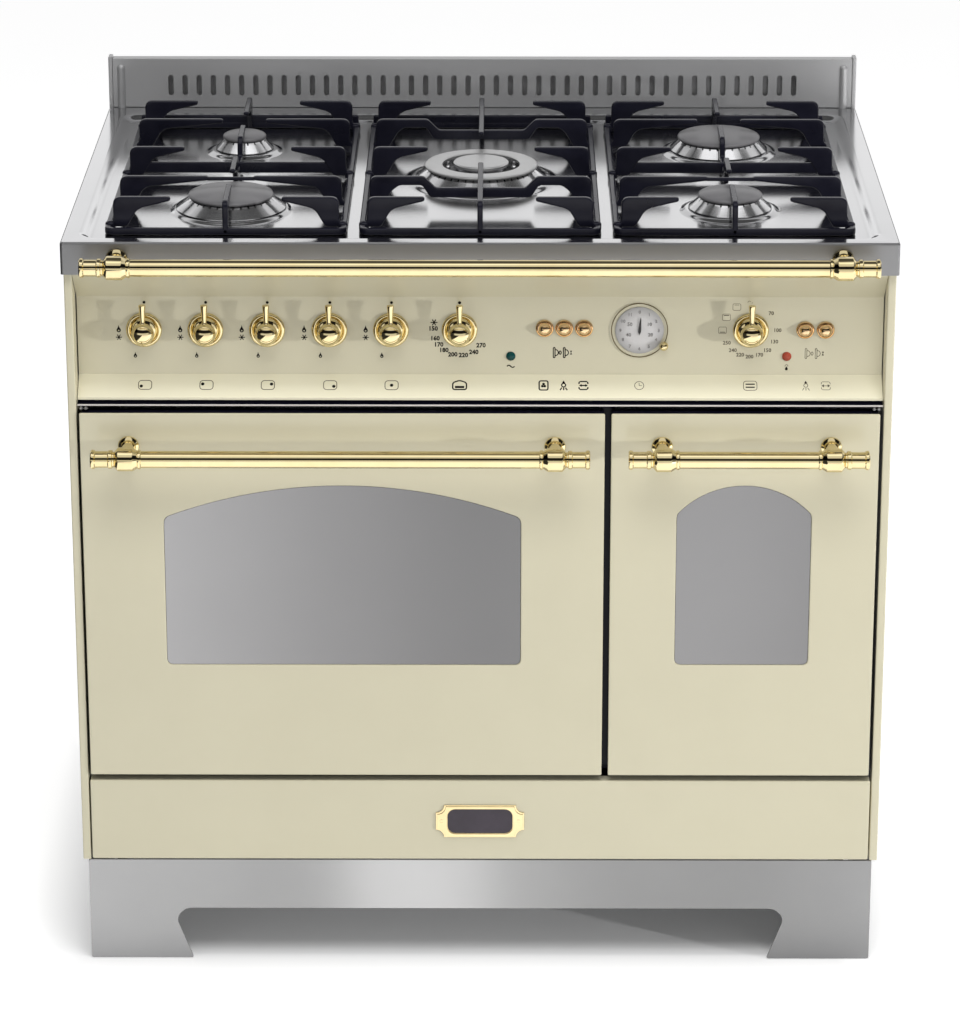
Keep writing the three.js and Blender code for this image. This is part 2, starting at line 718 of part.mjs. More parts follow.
function timerNeedle() {
  const [tail, tip] = [-5, 15.5];
  const blade = outline([
    [TIMER_X, CONTROL_Z + tail],
    [TIMER_X + 1.8, CONTROL_Z],
    [TIMER_X, CONTROL_Z + tip],
    [TIMER_X - 1.8, CONTROL_Z],
  ]);
  return plateFacingFront(blade, PANEL_FACE - 4.4, PANEL_FACE - 3.4);
}

// Pipe behind the panel with a tap body and spindle at each knob, led along the right side to the back.
function valveRail() {
  const [pipeY, pipeRadius, turnX] = [-222, 8, 415];
  const firstX = GAS_KNOB_X[0] - 20;
  const along = new THREE.CylinderGeometry(pipeRadius, pipeRadius, turnX - firstX, 8);
  along.rotateZ(Math.PI / 2).translate((turnX + firstX) / 2, pipeY, CONTROL_Z);
  const elbow = new THREE.SphereGeometry(pipeRadius * 1.2, 10, 6).translate(turnX, pipeY, CONTROL_Z);
  const pieces = [solid(along), solid(elbow), roundAlongY(pipeRadius, turnX, CONTROL_Z, pipeY, BACK_PLANE)];
  for (const x of [...GAS_KNOB_X, THERMOSTAT_KNOB_X, SELECTOR_KNOB_X]) {
    pieces.push(box(x - 12, x + 12, -236, -206, CONTROL_Z - 17, CONTROL_Z + 17));
    pieces.push(roundAlongY(3, x, CONTROL_Z, -247.5, -235, 6));
  }
  return joined(pieces);
}

// ---------------------------------------------------------------- body

function sidePanel(side) {
  const flange = [
    [SIDE_HALF_WIDTH, BODY_FRONT],
    [SIDE_INNER, BODY_FRONT],
    [SIDE_INNER, BODY_FRONT + FLANGE_RETURN],
    [SIDE_INNER + SHEET, BODY_FRONT + FLANGE_RETURN],
    [SIDE_INNER + SHEET, BODY_FRONT + SHEET],
    [SIDE_HALF_WIDTH - SHEET, BODY_FRONT + SHEET],
    [SIDE_HALF_WIDTH - SHEET, BODY_BACK - GAP],
    [SIDE_HALF_WIDTH, BODY_BACK - GAP],
  ];
  return sectionUpwards(outline(flange.map(([x, y]) => [side * x, y])), BODY_BOTTOM, HOB_UNDERSIDE - GAP);
}

// Galvanised back with a hole for the gas inlet, a cable gland and a row of vents.
function backPanel() {
  const half = SIDE_HALF_WIDTH;
  let panel = box(-half, half, BODY_BACK, BODY_BACK + SHEET, BODY_BOTTOM, HOB_TOP - GAP);
  for (let i = -4; i <= 4; i += 1) {
    panel = panel.subtract(box(i * 60 - 20, i * 60 + 20, BODY_BACK - 5, BACK_PLANE + 5, 700, 712));
  }
  panel = panel.add(roundAlongY(11, -400, 300, BODY_BACK, BACK_PLANE));
  return panel.subtract(roundAlongY(10, 415, CONTROL_Z, BODY_BACK - 5, BACK_PLANE + 5));
}

// Shelf under the ovens with a side channel at each end that the drawer runs in.
function chassis() {
  const wall = SIDE_INNER - 1;
  const bottom = BODY_BOTTOM + 0.4;
  const half = [
    [wall, SHELF_TOP],
    [wall, bottom],
    [wall - 48, bottom],
    [wall - 48, bottom + SHEET],
    [wall - SHEET, bottom + SHEET],
    [wall - SHEET, SHELF_TOP - SHEET],
  ];
  const shape = outline([...half, ...half.map(([x, z]) => [-x, z]).reverse()]);
  return plateFacingFront(shape, -262, BODY_BACK - 6);
}

// Stainless skirt: an arched front with a return along each side.
function plinth() {
  const half = [
    [PLINTH_HALF_WIDTH, PLINTH_TOP],
    [PLINTH_HALF_WIDTH, 0],
    [ARCH_HALF_FOOT, 0],
    [ARCH_HALF_NOTCH, ARCH_NOTCH_Z],
    [ARCH_HALF_NOTCH - 1.5, ARCH_NOTCH_Z + 7],
    [ARCH_HALF_TOP + 6, ARCH_TOP - 2],
    [ARCH_HALF_TOP, ARCH_TOP],
  ];
  const front = outline([...half, ...half.map(([x, z]) => [-x, z]).reverse()]);
  const pieces = [plateFacingFront(front, BODY_FRONT, BODY_FRONT + SHEET)];
  for (const side of [-1, 1]) {
    const [a, b] = [side * (PLINTH_HALF_WIDTH - SHEET), side * PLINTH_HALF_WIDTH].sort((p, q) => p - q);
    pieces.push(box(a, b, BODY_FRONT, BODY_BACK - 6, 0, PLINTH_TOP));
  }
  return joined(pieces);
}

// Channel under each side of the chassis with a levelling foot near either end.
function footRail(side) {
  const [centre, halfWidth] = [side * 408, 22];
  const railBottom = PLINTH_TOP - 12;
  const pieces = [box(centre - halfWidth, centre + halfWidth, -250, 270, railBottom, PLINTH_TOP)];
  const foot = [[0, 0], [19, 0], [19, 5], [9, 9], [9, railBottom + 2], [0, railBottom + 2]];
  for (const y of [-215, 235]) {
    pieces.push(turnedUpright(foot, centre, y, 16));
  }
  return joined(pieces);
}

function fasciaStrip() {
  return box(-SIDE_INNER + 0.5, SIDE_INNER - 0.5, -284, -262.5, 656, 660.7);
}

function mullion() {
  return box(OVENS.left.flangeX1 + GAP, OVENS.right.flangeX0 - GAP, -267.5, -240, SHELF_TOP + GAP, 655);
}

// ---------------------------------------------------------------- ovens

// Enamelled box, open at the front, with a front flange and two pairs of shelf ledges.
function ovenLiner({ x0, x1, flangeX0, flangeX1 }) {
  const flangeBack = OVEN_FLANGE_FRONT + OVEN_WALL;
  const flange = box(flangeX0, flangeX1, OVEN_FLANGE_FRONT, flangeBack, SHELF_TOP + GAP, 652);
  const shell = box(
    x0 - OVEN_WALL,
    x1 + OVEN_WALL,
    OVEN_FLANGE_FRONT,
    OVEN_BACK + OVEN_WALL,
    OVEN_FLOOR - OVEN_WALL,
    OVEN_ROOF + OVEN_WALL,
  );
  const cavity = box(x0, x1, OVEN_FLANGE_FRONT - 1, OVEN_BACK, OVEN_FLOOR, OVEN_ROOF);
  let liner = flange.add(shell).subtract(cavity);
  for (const z of LEDGE_Z) {
    liner = liner.add(box(x0 - 1, x0 + 9, OVEN_FLANGE_FRONT + 16, OVEN_BACK + 1, z, z + 3));
    liner = liner.add(box(x1 - 9, x1 + 1, OVEN_FLANGE_FRONT + 16, OVEN_BACK + 1, z, z + 3));
  }
  return liner;
}

// Wire shelf: a frame and evenly spaced fore-and-aft wires, resting on the upper ledges.
function rack({ x0, x1 }) {
  const bottom = LEDGE_Z[1] + 3 + GAP;
  const top = bottom + RACK_WIRE + 1;
  const [left, right, front, back] = [x0 + 1, x1 - 1, OVEN_FLANGE_FRONT + 10, OVEN_BACK - 8];
  const frame = box(left, right, front, back, bottom, top).subtract(
    box(left + RACK_WIRE, right - RACK_WIRE, front + RACK_WIRE, back - RACK_WIRE, bottom - 1, top + 1),
  );
  const pieces = [frame];
  const spaces = Math.round((right - left) / 39);
  for (let i = 1; i < spaces; i += 1) {
    const x = left + ((right - left) * i) / spaces;
    pieces.push(box(x - 1.5, x + 1.5, front + 1, back - 1, bottom + 1, top - 1));
  }
  return joined(pieces);
}

// ---------------------------------------------------------------- doors

// Window outline: straight foot and sides, arched crown; grown by an even margin.
function windowShape({ x0, x1, z0, side, crown }, margin) {
  const [left, right, foot] = [x0 - margin, x1 + margin, z0 - margin];
  const [spring, rise, middle] = [side, crown + margin - side, (x0 + x1) / 2];
  const shape = new THREE.Shape();
  shape.moveTo(left + WINDOW_CORNER, foot);
  shape.lineTo(right - WINDOW_CORNER, foot);
  shape.quadraticCurveTo(right, foot, right, foot + WINDOW_CORNER);
  shape.lineTo(right, spring);
  const steps = 10;
  for (let i = 1; i < steps; i += 1) {
    const angle = (Math.PI * i) / steps;
    shape.lineTo(middle + ((right - left) / 2) * Math.cos(angle), spring + rise * Math.sin(angle));
  }
  shape.lineTo(left, spring);
  shape.lineTo(left, foot + WINDOW_CORNER);
  shape.quadraticCurveTo(left, foot, left + WINDOW_CORNER, foot);
  return shape;
}

function doorSkin({ x0, x1, window }) {
  const back = DOOR_FRONT + DOOR_TRAY_DEPTH;
  const tray = box(x0, x1, DOOR_FRONT, back, DOOR_BOTTOM, DOOR_TOP).subtract(
    box(x0 + SHEET, x1 - SHEET, DOOR_FRONT + SHEET, back + 1, DOOR_BOTTOM + SHEET, DOOR_TOP - SHEET),
  );
  return tray.subtract(plateFacingFront(windowShape(window, 0), DOOR_FRONT - 1, DOOR_FRONT + 5, 3));
}

function doorGlass({ window }) {
  const front = DOOR_FRONT + SHEET + GAP;
  return plateFacingFront(windowShape(window, 14), front, front + 4, 3);
}

// Inner pan of the door: a shallow dish with a rim round its own window.
function doorInner({ x0, x1, window }) {
  const inset = SHEET + 0.5;
  const [front, back] = [DOOR_FRONT + SHEET + 4.7, DOOR_FRONT + 25];
  const outer = box(x0 + inset, x1 - inset, front, back, DOOR_BOTTOM + inset, DOOR_TOP - inset);
  const dish = box(x0 + 5, x1 - 5, front - 1, back - 3, DOOR_BOTTOM + 5, DOOR_TOP - 5);
  const collar = plateFacingFront(windowShape(window, 3), front, back - 2, 3);
  const opening = plateFacingFront(windowShape(window, 0), front - 1, back + 1, 3);
  return outer.subtract(dish).add(collar).subtract(opening);
}

// ---------------------------------------------------------------- drawer

function drawerFront() {
  const [half, depth] = [DRAWER_HALF_WIDTH, 15];
  const tray = box(-half, half, DRAWER_FRONT, DRAWER_FRONT + depth, DRAWER_BOTTOM, DRAWER_TOP);
  return tray.subtract(
    box(
      -half + SHEET,
      half - SHEET,
      DRAWER_FRONT + SHEET,
      DRAWER_FRONT + depth + 1,
      DRAWER_BOTTOM + SHEET,
      DRAWER_TOP - SHEET,
    ),
  );
}

function drawerBox() {
  const [half, front, back, bottom, top] = [428, DRAWER_FRONT + 15 + GAP, 240, 132, 200];
  return box(-half, half, front, back, bottom, top).subtract(
    box(-half + SHEET, half - SHEET, front + SHEET, back - SHEET, bottom + SHEET, top + 1),
  );
}

// Brass plate with scooped corners.
function badge() {
  const [halfWidth, halfHeight, scoop, centreZ] = [50, 20, 8, 171];
  const corner = (sx, sz) =>
    [0, 1, 2, 3].map((i) => {
      const angle = (Math.PI / 2) * (i / 3);
      return [sx * (halfWidth - scoop * Math.cos(angle)), centreZ + sz * (halfHeight - scoop * Math.sin(angle))];
    });
  const shape = outline([
    ...corner(1, -1),
    ...corner(1, 1).reverse(),
    ...corner(-1, 1),
    ...corner(-1, -1).reverse(),
  ]);
  return plateFacingFront(shape, DRAWER_FRONT - GAP - 2.4, DRAWER_FRONT - GAP);
}

// ---------------------------------------------------------------- assembly

place('hob_top', hobTop(), stainless);
place('backguard', backguard(), stainless);
for (const burner of BURNERS) {
  place(`burner_body_${burner.name}`, burnerBody(burner), alloy);
  place(`burner_cap_${burner.name}`, burnerCap(burner), blackEnamel);
}
place('burner_body_centre', centreBurnerBody(), alloy);
place('burner_ring_centre', centreRing(), alloy);
place('burner_cap_centre', centreCap(), alloy);
place('pan_support_left', panSupport(-SUPPORT_PITCH, false), castIron);
place('pan_support_centre', panSupport(0, true), castIron);
place('pan_support_right', panSupport(SUPPORT_PITCH, false), castIron);
place('front_rail', brassRail(RAILS.hob, HOB_FRONT, RAIL_Z, RAIL_AXIS_OUT), brass);

place('control_panel', controlPanel(), cream);
GAS_KNOB_X.forEach((x, i) => place(`gas_knob_${i + 1}`, knob(x), brass));
place('thermostat_knob', knob(THERMOSTAT_KNOB_X), brass);
place('selector_knob', knob(SELECTOR_KNOB_X), brass);
BUTTON_X.forEach((x, i) => place(`button_${i + 1}`, button(x, BUTTON_Z[i]), roseBrass));
place('lamp_power', lamp(LAMP_X[0]), tealLens);
place('lamp_heating', lamp(LAMP_X[1]), redLens);
place('timer_dial', timerDial(), dialFace);
place('timer_ring', timerRing(), cream);
place('timer_needle', timerNeedle(), needleBlack);
place('valve_rail', valveRail(), galvanised);

place('side_panel_left', sidePanel(-1), cream);
place('side_panel_right', sidePanel(1), cream);
place('back_panel', backPanel(), galvanised);
place('chassis', chassis(), blackEnamel);
place('plinth', plinth(), stainless);
place('foot_rail_left', footRail(-1), galvanised);
place('foot_rail_right', footRail(1), galvanised);
place('fascia_strip', fasciaStrip(), blackEnamel);
place('mullion', mullion(), blackEnamel);

for (const side of ['left', 'right']) {
  place(`oven_liner_${side}`, ovenLiner(OVENS[side]), greyEnamel);
  place(`oven_rack_${side}`, rack(OVENS[side]), chromeWire);
  place(`door_${side}_skin`, doorSkin(DOORS[side]), cream);
  place(`door_${side}_glass`, doorGlass(DOORS[side]), mirrorGlass);
  place(`door_${side}_inner`, doorInner(DOORS[side]), blackEnamel);
  place(`door_${side}_handle`, brassRail(RAILS[side], DOOR_FRONT, HANDLE_Z, HANDLE_AXIS_OUT), brass);
}

place('drawer_front', drawerFront(), cream);
place('drawer_box', drawerBox(), galvanised);
place('badge', badge(), brass);

group.position.y = CENTRE_SHIFT;

export default group;
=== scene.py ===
import math

import bmesh
import bpy
from mathutils import Matrix, Vector


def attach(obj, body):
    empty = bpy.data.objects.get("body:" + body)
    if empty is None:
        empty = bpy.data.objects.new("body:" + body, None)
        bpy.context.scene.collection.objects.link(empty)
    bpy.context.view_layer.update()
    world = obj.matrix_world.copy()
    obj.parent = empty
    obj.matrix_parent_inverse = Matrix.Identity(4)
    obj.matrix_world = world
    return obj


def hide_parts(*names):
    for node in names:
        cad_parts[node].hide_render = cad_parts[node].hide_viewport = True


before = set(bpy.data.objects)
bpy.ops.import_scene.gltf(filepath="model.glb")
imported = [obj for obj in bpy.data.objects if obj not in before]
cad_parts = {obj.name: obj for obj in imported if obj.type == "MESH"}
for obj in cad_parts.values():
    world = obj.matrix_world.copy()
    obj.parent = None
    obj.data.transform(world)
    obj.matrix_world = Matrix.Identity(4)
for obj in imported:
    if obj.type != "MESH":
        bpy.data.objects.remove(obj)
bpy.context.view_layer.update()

# ---------------------------------------------------------------- studio
# A white sweep of floor, two overhead softboxes, a weak key from the front right and fill from the left, and
# a small lamp low on the right that throws the knobs' shadows. The camera stands 4.5 m from the hob, 2 m up.

HOB_MIDDLE_Y = 0.0255  # metres behind the footprint's middle; lengths below start from the hob's middle
IMAGE_LONG_SIDE = 1021
FOCAL_PIXELS = 4045.65
CAMERA_TURN, CAMERA_TILT = -0.0044, 0.32422  # radians, a little to the left and down

camera_data = bpy.data.cameras.new("camera")
camera_data.sensor_width = 36.0
camera_data.lens = FOCAL_PIXELS * camera_data.sensor_width / IMAGE_LONG_SIDE
camera_data.shift_x = -2.1 / IMAGE_LONG_SIDE
camera_data.shift_y = -0.1
camera = bpy.data.objects.new("camera", camera_data)
camera.location = (0.0207, -4.4573 + HOB_MIDDLE_Y, 2.0606)
level_run = math.cos(CAMERA_TILT)
aim = Vector((math.sin(CAMERA_TURN) * level_run, math.cos(CAMERA_TURN) * level_run, -math.sin(CAMERA_TILT)))
camera.rotation_euler = aim.to_track_quat("-Z", "Y").to_euler()
bpy.context.scene.collection.objects.link(camera)
bpy.context.scene.camera = camera
bpy.context.scene.view_settings.view_transform = "Standard"


def softbox(name, place, target, size, watts):
    lamp_data = bpy.data.lights.new(name, "AREA")
    lamp_data.shape = "RECTANGLE"
    lamp_data.size, lamp_data.size_y = size
    lamp_data.energy = watts
    lamp = bpy.data.objects.new(name, lamp_data)
    lamp.location = place
    lamp.rotation_euler = (Vector(target) - Vector(place)).to_track_quat("-Z", "Y").to_euler()
    lamp.visible_glossy = False  # polished metal shows the studio's walls, not the lamps
    bpy.context.scene.collection.objects.link(lamp)
    return lamp


softbox("key_light", (1.9, -3.3, 2.6), (0, 0, 0.5), (0.9, 0.9), 5)
softbox("fill_light", (-2.4, -3.4, 0.9), (0, 0, 0.6), (0.9, 0.9), 5)
softbox("overhead_light", (0.2, -2.0, 3.4), (0, -0.1, 0.6), (2.4, 1.2), 50)
softbox("ceiling_light", (0.1, -0.8, 3.6), (0.1, -0.75, 0), (1.6, 0.5), 30)
side_light = softbox("side_light", (3.75, -2.0, 0.76), (0, 0, 0.72), (0.14, 0.14), 70)


def link(tree, source, target):
    tree.links.new(source, target)


def brightness_by_height(tree, height, stops):
    """Brightness of the studio's walls, read off a list of (sine of the elevation, brightness)."""
    ramp = tree.nodes.new("ShaderNodeFloatCurve")
    curve = ramp.mapping.curves[0]
    curve.points[0].location = (0.0, stops[0][1] / 2)
    curve.points[1].location = (1.0, stops[-1][1] / 2)
    for place, value in stops[1:-1]:
        curve.points.new(place, value / 2)
    for point in curve.points:
        point.handle_type = "VECTOR"
    ramp.mapping.update()
    link(tree, height, ramp.inputs["Value"])
    doubled = tree.nodes.new("ShaderNodeMath")
    doubled.operation = "MULTIPLY"
    doubled.inputs[1].default_value = 2.0
    link(tree, ramp.outputs[0], doubled.inputs[0])
    return doubled.outputs[0]


def studio_world():
    world = bpy.data.worlds.new("studio")
    bpy.context.scene.world = world
    world.use_nodes = True
    tree = world.node_tree
    tree.nodes.clear()
    output = tree.nodes.new("ShaderNodeOutputWorld")
    direction = tree.nodes.new("ShaderNodeTexCoord")
    split = tree.nodes.new("ShaderNodeSeparateXYZ")
    link(tree, direction.outputs["Generated"], split.inputs[0])
    ahead = brightness_by_height(tree, split.outputs["Z"], (
        (0.0, 0.95), (0.185, 0.95), (0.21, 0.02), (0.61, 0.02), (0.64, 1.0), (0.86, 1.0), (0.90, 1.7),
        (0.975, 1.7), (1.0, 0.15)))
    behind = brightness_by_height(tree, split.outputs["Z"], (
        (0.0, 1.0), (0.10, 1.4), (0.26, 1.4), (0.31, 1.0), (0.70, 1.0), (0.80, 0.10), (0.97, 0.10),
        (1.0, 0.15)))
    facing = tree.nodes.new("ShaderNodeMapRange")
    facing.inputs["From Min"].default_value = 0.06
    facing.inputs["From Max"].default_value = -0.06
    link(tree, split.outputs["Y"], facing.inputs["Value"])
    round_about = tree.nodes.new("ShaderNodeMix")
    link(tree, facing.outputs["Result"], round_about.inputs["Factor"])
    link(tree, behind, round_about.inputs["A"])
    link(tree, ahead, round_about.inputs["B"])
    lit = round_about.outputs["Result"]
    for begins, ends, darkest in ((-0.60, -0.76, 0.05), (0.72, 0.86, 0.25)):
        side_wall = tree.nodes.new("ShaderNodeMapRange")
        side_wall.inputs["From Min"].default_value = begins
        side_wall.inputs["From Max"].default_value = ends
        side_wall.inputs["To Min"].default_value = 1.0
        side_wall.inputs["To Max"].default_value = darkest
        link(tree, split.outputs["X"], side_wall.inputs["Value"])
        brightness = tree.nodes.new("ShaderNodeMath")
        brightness.operation = "MULTIPLY"
        link(tree, lit, brightness.inputs[0])
        link(tree, side_wall.outputs["Result"], brightness.inputs[1])
        lit = brightness.outputs[0]
    rays = tree.nodes.new("ShaderNodeLightPath")
    ambient = tree.nodes.new("ShaderNodeBackground")
    ambient.inputs["Color"].default_value = (1, 1, 1, 1)
    ambient.inputs["Strength"].default_value = 0.40
    white = tree.nodes.new("ShaderNodeBackground")
    white.inputs["Color"].default_value = (1, 1, 1, 1)
    mirrored = tree.nodes.new("ShaderNodeBackground")
    link(tree, lit, mirrored.inputs["Strength"])
    to_gloss = tree.nodes.new("ShaderNodeMixShader")
    link(tree, rays.outputs["Is Glossy Ray"], to_gloss.inputs["Fac"])
    link(tree, ambient.outputs[0], to_gloss.inputs[1])
    link(tree, mirrored.outputs[0], to_gloss.inputs[2])
    seen = tree.nodes.new("ShaderNodeMath")
    seen.operation = "MAXIMUM"
    link(tree, rays.outputs["Is Camera Ray"], seen.inputs[0])
    link(tree, rays.outputs["Is Transmission Ray"], seen.inputs[1])
    to_camera = tree.nodes.new("ShaderNodeMixShader")
    link(tree, seen.outputs[0], to_camera.inputs["Fac"])
    link(tree, to_gloss.outputs[0], to_camera.inputs[1])
    link(tree, white.outputs[0], to_camera.inputs[2])
    link(tree, to_camera.outputs[0], output.inputs["Surface"])


def studio_floor():
    mesh = bpy.data.meshes.new("studio_floor")
    reach, level = 14.0, -0.0005
    corners = [(-reach, -reach, level), (reach, -reach, level), (reach, reach, level), (-reach, reach, level)]
    mesh.from_pydata(corners, [], [(0, 1, 2, 3)])
    material = bpy.data.materials.new("floor_white")
    material.use_nodes = True
    tree = material.node_tree
    tree.nodes.clear()
    output = tree.nodes.new("ShaderNodeOutputMaterial")
    coordinates = tree.nodes.new("ShaderNodeTexCoord")
    noise = tree.nodes.new("ShaderNodeTexNoise")
    noise.inputs["Scale"].default_value = 3.0
    link(tree, coordinates.outputs["Object"], noise.inputs["Vector"])
    tone = tree.nodes.new("ShaderNodeMapRange")
    tone.inputs["To Min"].default_value = 0.80
    tone.inputs["To Max"].default_value = 0.82
    link(tree, noise.outputs["Fac"], tone.inputs["Value"])
    rays = tree.nodes.new("ShaderNodeLightPath")
    place = tree.nodes.new("ShaderNodeSeparateXYZ")
    link(tree, coordinates.outputs["Object"], place.inputs[0])
    paper_ends = tree.nodes.new("ShaderNodeMapRange")  # left of here polished metal shows the dark room
    paper_ends.inputs["From Min"].default_value = -0.85
    paper_ends.inputs["From Max"].default_value = -1.05
    paper_ends.inputs["To Max"].default_value = 0.97
    link(tree, place.outputs["X"], paper_ends.inputs["Value"])
    mirrored_dark = tree.nodes.new("ShaderNodeMath")
    mirrored_dark.operation = "MULTIPLY"
    link(tree, rays.outputs["Is Glossy Ray"], mirrored_dark.inputs[0])
    link(tree, paper_ends.outputs["Result"], mirrored_dark.inputs[1])
    kept = tree.nodes.new("ShaderNodeMath")
    kept.operation = "SUBTRACT"
    kept.inputs[0].default_value = 1.0
    link(tree, mirrored_dark.outputs[0], kept.inputs[1])
    paper = tree.nodes.new("ShaderNodeMath")
    paper.operation = "MULTIPLY"
    link(tree, tone.outputs["Result"], paper.inputs[0])
    link(tree, kept.outputs[0], paper.inputs[1])
    diffuse = tree.nodes.new("ShaderNodeBsdfDiffuse")
    link(tree, paper.outputs[0], diffuse.inputs["Color"])
    directly = tree.nodes.new("ShaderNodeMath")
    directly.operation = "MAXIMUM"
    link(tree, rays.outputs["Is Camera Ray"], directly.inputs[0])
    link(tree, rays.outputs["Is Glossy Ray"], directly.inputs[1])
    seen = tree.nodes.new("ShaderNodeMath")
    seen.operation = "MAXIMUM"
    link(tree, directly.outputs[0], seen.inputs[0])
    link(tree, rays.outputs["Is Transmission Ray"], seen.inputs[1])
    leftwards = tree.nodes.new("ShaderNodeVectorMath")
    leftwards.inputs[1].default_value = (0.02, 0, 0)  # more shadow shows on the left, away from the side lamp
    link(tree, coordinates.outputs["Object"], leftwards.inputs[0])
    both_ways = tree.nodes.new("ShaderNodeVectorMath")
    both_ways.operation = "ABSOLUTE"
    link(tree, leftwards.outputs[0], both_ways.inputs[0])
    beyond = tree.nodes.new("ShaderNodeVectorMath")
    beyond.operation = "SUBTRACT"
    beyond.inputs[1].default_value = (0.44, 0.285, 0)  # half the plinth's width and depth
    link(tree, both_ways.outputs[0], beyond.inputs[0])
    split = tree.nodes.new("ShaderNodeSeparateXYZ")
    link(tree, beyond.outputs[0], split.inputs[0])
    away = tree.nodes.new("ShaderNodeMath")
    away.operation = "MAXIMUM"
    link(tree, split.outputs["X"], away.inputs[0])
    link(tree, split.outputs["Y"], away.inputs[1])
    whitening = tree.nodes.new("ShaderNodeMapRange")
    whitening.inputs["From Min"].default_value = -0.05
    whitening.inputs["From Max"].default_value = 0.07
    whitening.inputs["To Min"].default_value = 0.05
    whitening.inputs["To Max"].default_value = 0.60
    link(tree, away.outputs[0], whitening.inputs["Value"])
    strength = tree.nodes.new("ShaderNodeMath")
    strength.operation = "MULTIPLY"
    link(tree, seen.outputs[0], strength.inputs[0])
    link(tree, whitening.outputs["Result"], strength.inputs[1])
    kept_glow = tree.nodes.new("ShaderNodeMath")
    kept_glow.operation = "MULTIPLY"
    link(tree, strength.outputs[0], kept_glow.inputs[0])
    link(tree, kept.outputs[0], kept_glow.inputs[1])
    glow = tree.nodes.new("ShaderNodeEmission")
    link(tree, kept_glow.outputs[0], glow.inputs["Strength"])
    total = tree.nodes.new("ShaderNodeAddShader")
    link(tree, diffuse.outputs[0], total.inputs[0])
    link(tree, glow.outputs[0], total.inputs[1])
    link(tree, total.outputs[0], output.inputs["Surface"])
    mesh.materials.append(material)
    floor = bpy.data.objects.new("studio_floor", mesh)
    bpy.context.scene.collection.objects.link(floor)


studio_world()
studio_floor()

# ---------------------------------------------------------------- hob
# One pressing of satin stainless steel: a lip all round, a flat rim, a cove down to the well and a low round
# seat under each burner. It drops over the cabinet and is screwed to it from below.


def effect_group(name, inputs, outputs):
    """An empty shader node group with its sockets, and the two nodes that they are joined to."""
    tree = bpy.data.node_groups.new(name, "ShaderNodeTree")
    for label, kind, value in inputs:
        tree.interface.new_socket(name=label, in_out="INPUT", socket_type=kind).default_value = value
    for label, kind in outputs:
        tree.interface.new_socket(name=label, in_out="OUTPUT", socket_type=kind)
    return tree, tree.nodes.new("NodeGroupInput"), tree.nodes.new("NodeGroupOutput")


def noise_node(tree, vector, scale, detail=3.0):
    noise = tree.nodes.new("ShaderNodeTexNoise")
    noise.inputs["Detail"].default_value = detail
    link(tree, vector, noise.inputs["Vector"])
    if isinstance(scale, float):
        noise.inputs["Scale"].default_value = scale
    else:
        link(tree, scale, noise.inputs["Scale"])
    return noise.outputs["Fac"]


def build_mottle():
    """Slow cloudy change over a surface, from 0 to 1: two sizes of noise added together."""
    tree, given, result = effect_group(
        "cloudy_change", [("Scale", "NodeSocketFloat", 4.0)], [("Amount", "NodeSocketFloat")]
    )
    place = tree.nodes.new("ShaderNodeTexCoord").outputs["Object"]
    broad = noise_node(tree, place, given.outputs["Scale"], 2.0)
    finer = tree.nodes.new("ShaderNodeMath")
    finer.operation = "MULTIPLY"
    finer.inputs[1].default_value = 6.3
    link(tree, given.outputs["Scale"], finer.inputs[0])
    small = noise_node(tree, place, finer.outputs[0], 4.0)
    blend = tree.nodes.new("ShaderNodeMix")
    blend.inputs["Factor"].default_value = 0.35
    link(tree, broad, blend.inputs["A"])
    link(tree, small, blend.inputs["B"])
    spread = tree.nodes.new("ShaderNodeMapRange")
    spread.inputs["From Min"].default_value = 0.32
    spread.inputs["From Max"].default_value = 0.68
    link(tree, blend.outputs["Result"], spread.inputs["Value"])
    link(tree, spread.outputs["Result"], result.inputs["Amount"])
    return tree


def build_grain():
    """Fine relief: noise with its own scale along each axis, as polishing belts or casting leave it."""
    tree, given, result = effect_group(
        "surface_grain", [("Fineness", "NodeSocketVector", (400, 400, 400))], [("Relief", "NodeSocketFloat")]
    )
    place = tree.nodes.new("ShaderNodeTexCoord").outputs["Object"]
    stretch = tree.nodes.new("ShaderNodeVectorMath")
    stretch.operation = "MULTIPLY"
    link(tree, place, stretch.inputs[0])
    link(tree, given.outputs["Fineness"], stretch.inputs[1])
    link(tree, noise_node(tree, stretch.outputs[0], 1.0, 2.0), result.inputs["Relief"])
    return tree


CLOUDY_CHANGE = build_mottle()
SURFACE_GRAIN = build_grain()


def map_range(tree, value, low, high, from_low=0.0, from_high=1.0):
    node = tree.nodes.new("ShaderNodeMapRange")
    node.inputs["From Min"].default_value = from_low
    node.inputs["From Max"].default_value = from_high
    node.inputs["To Min"].default_value = low
    node.inputs["To Max"].default_value = high
    link(tree, value, node.inputs["Value"])
    return node.outputs["Result"]


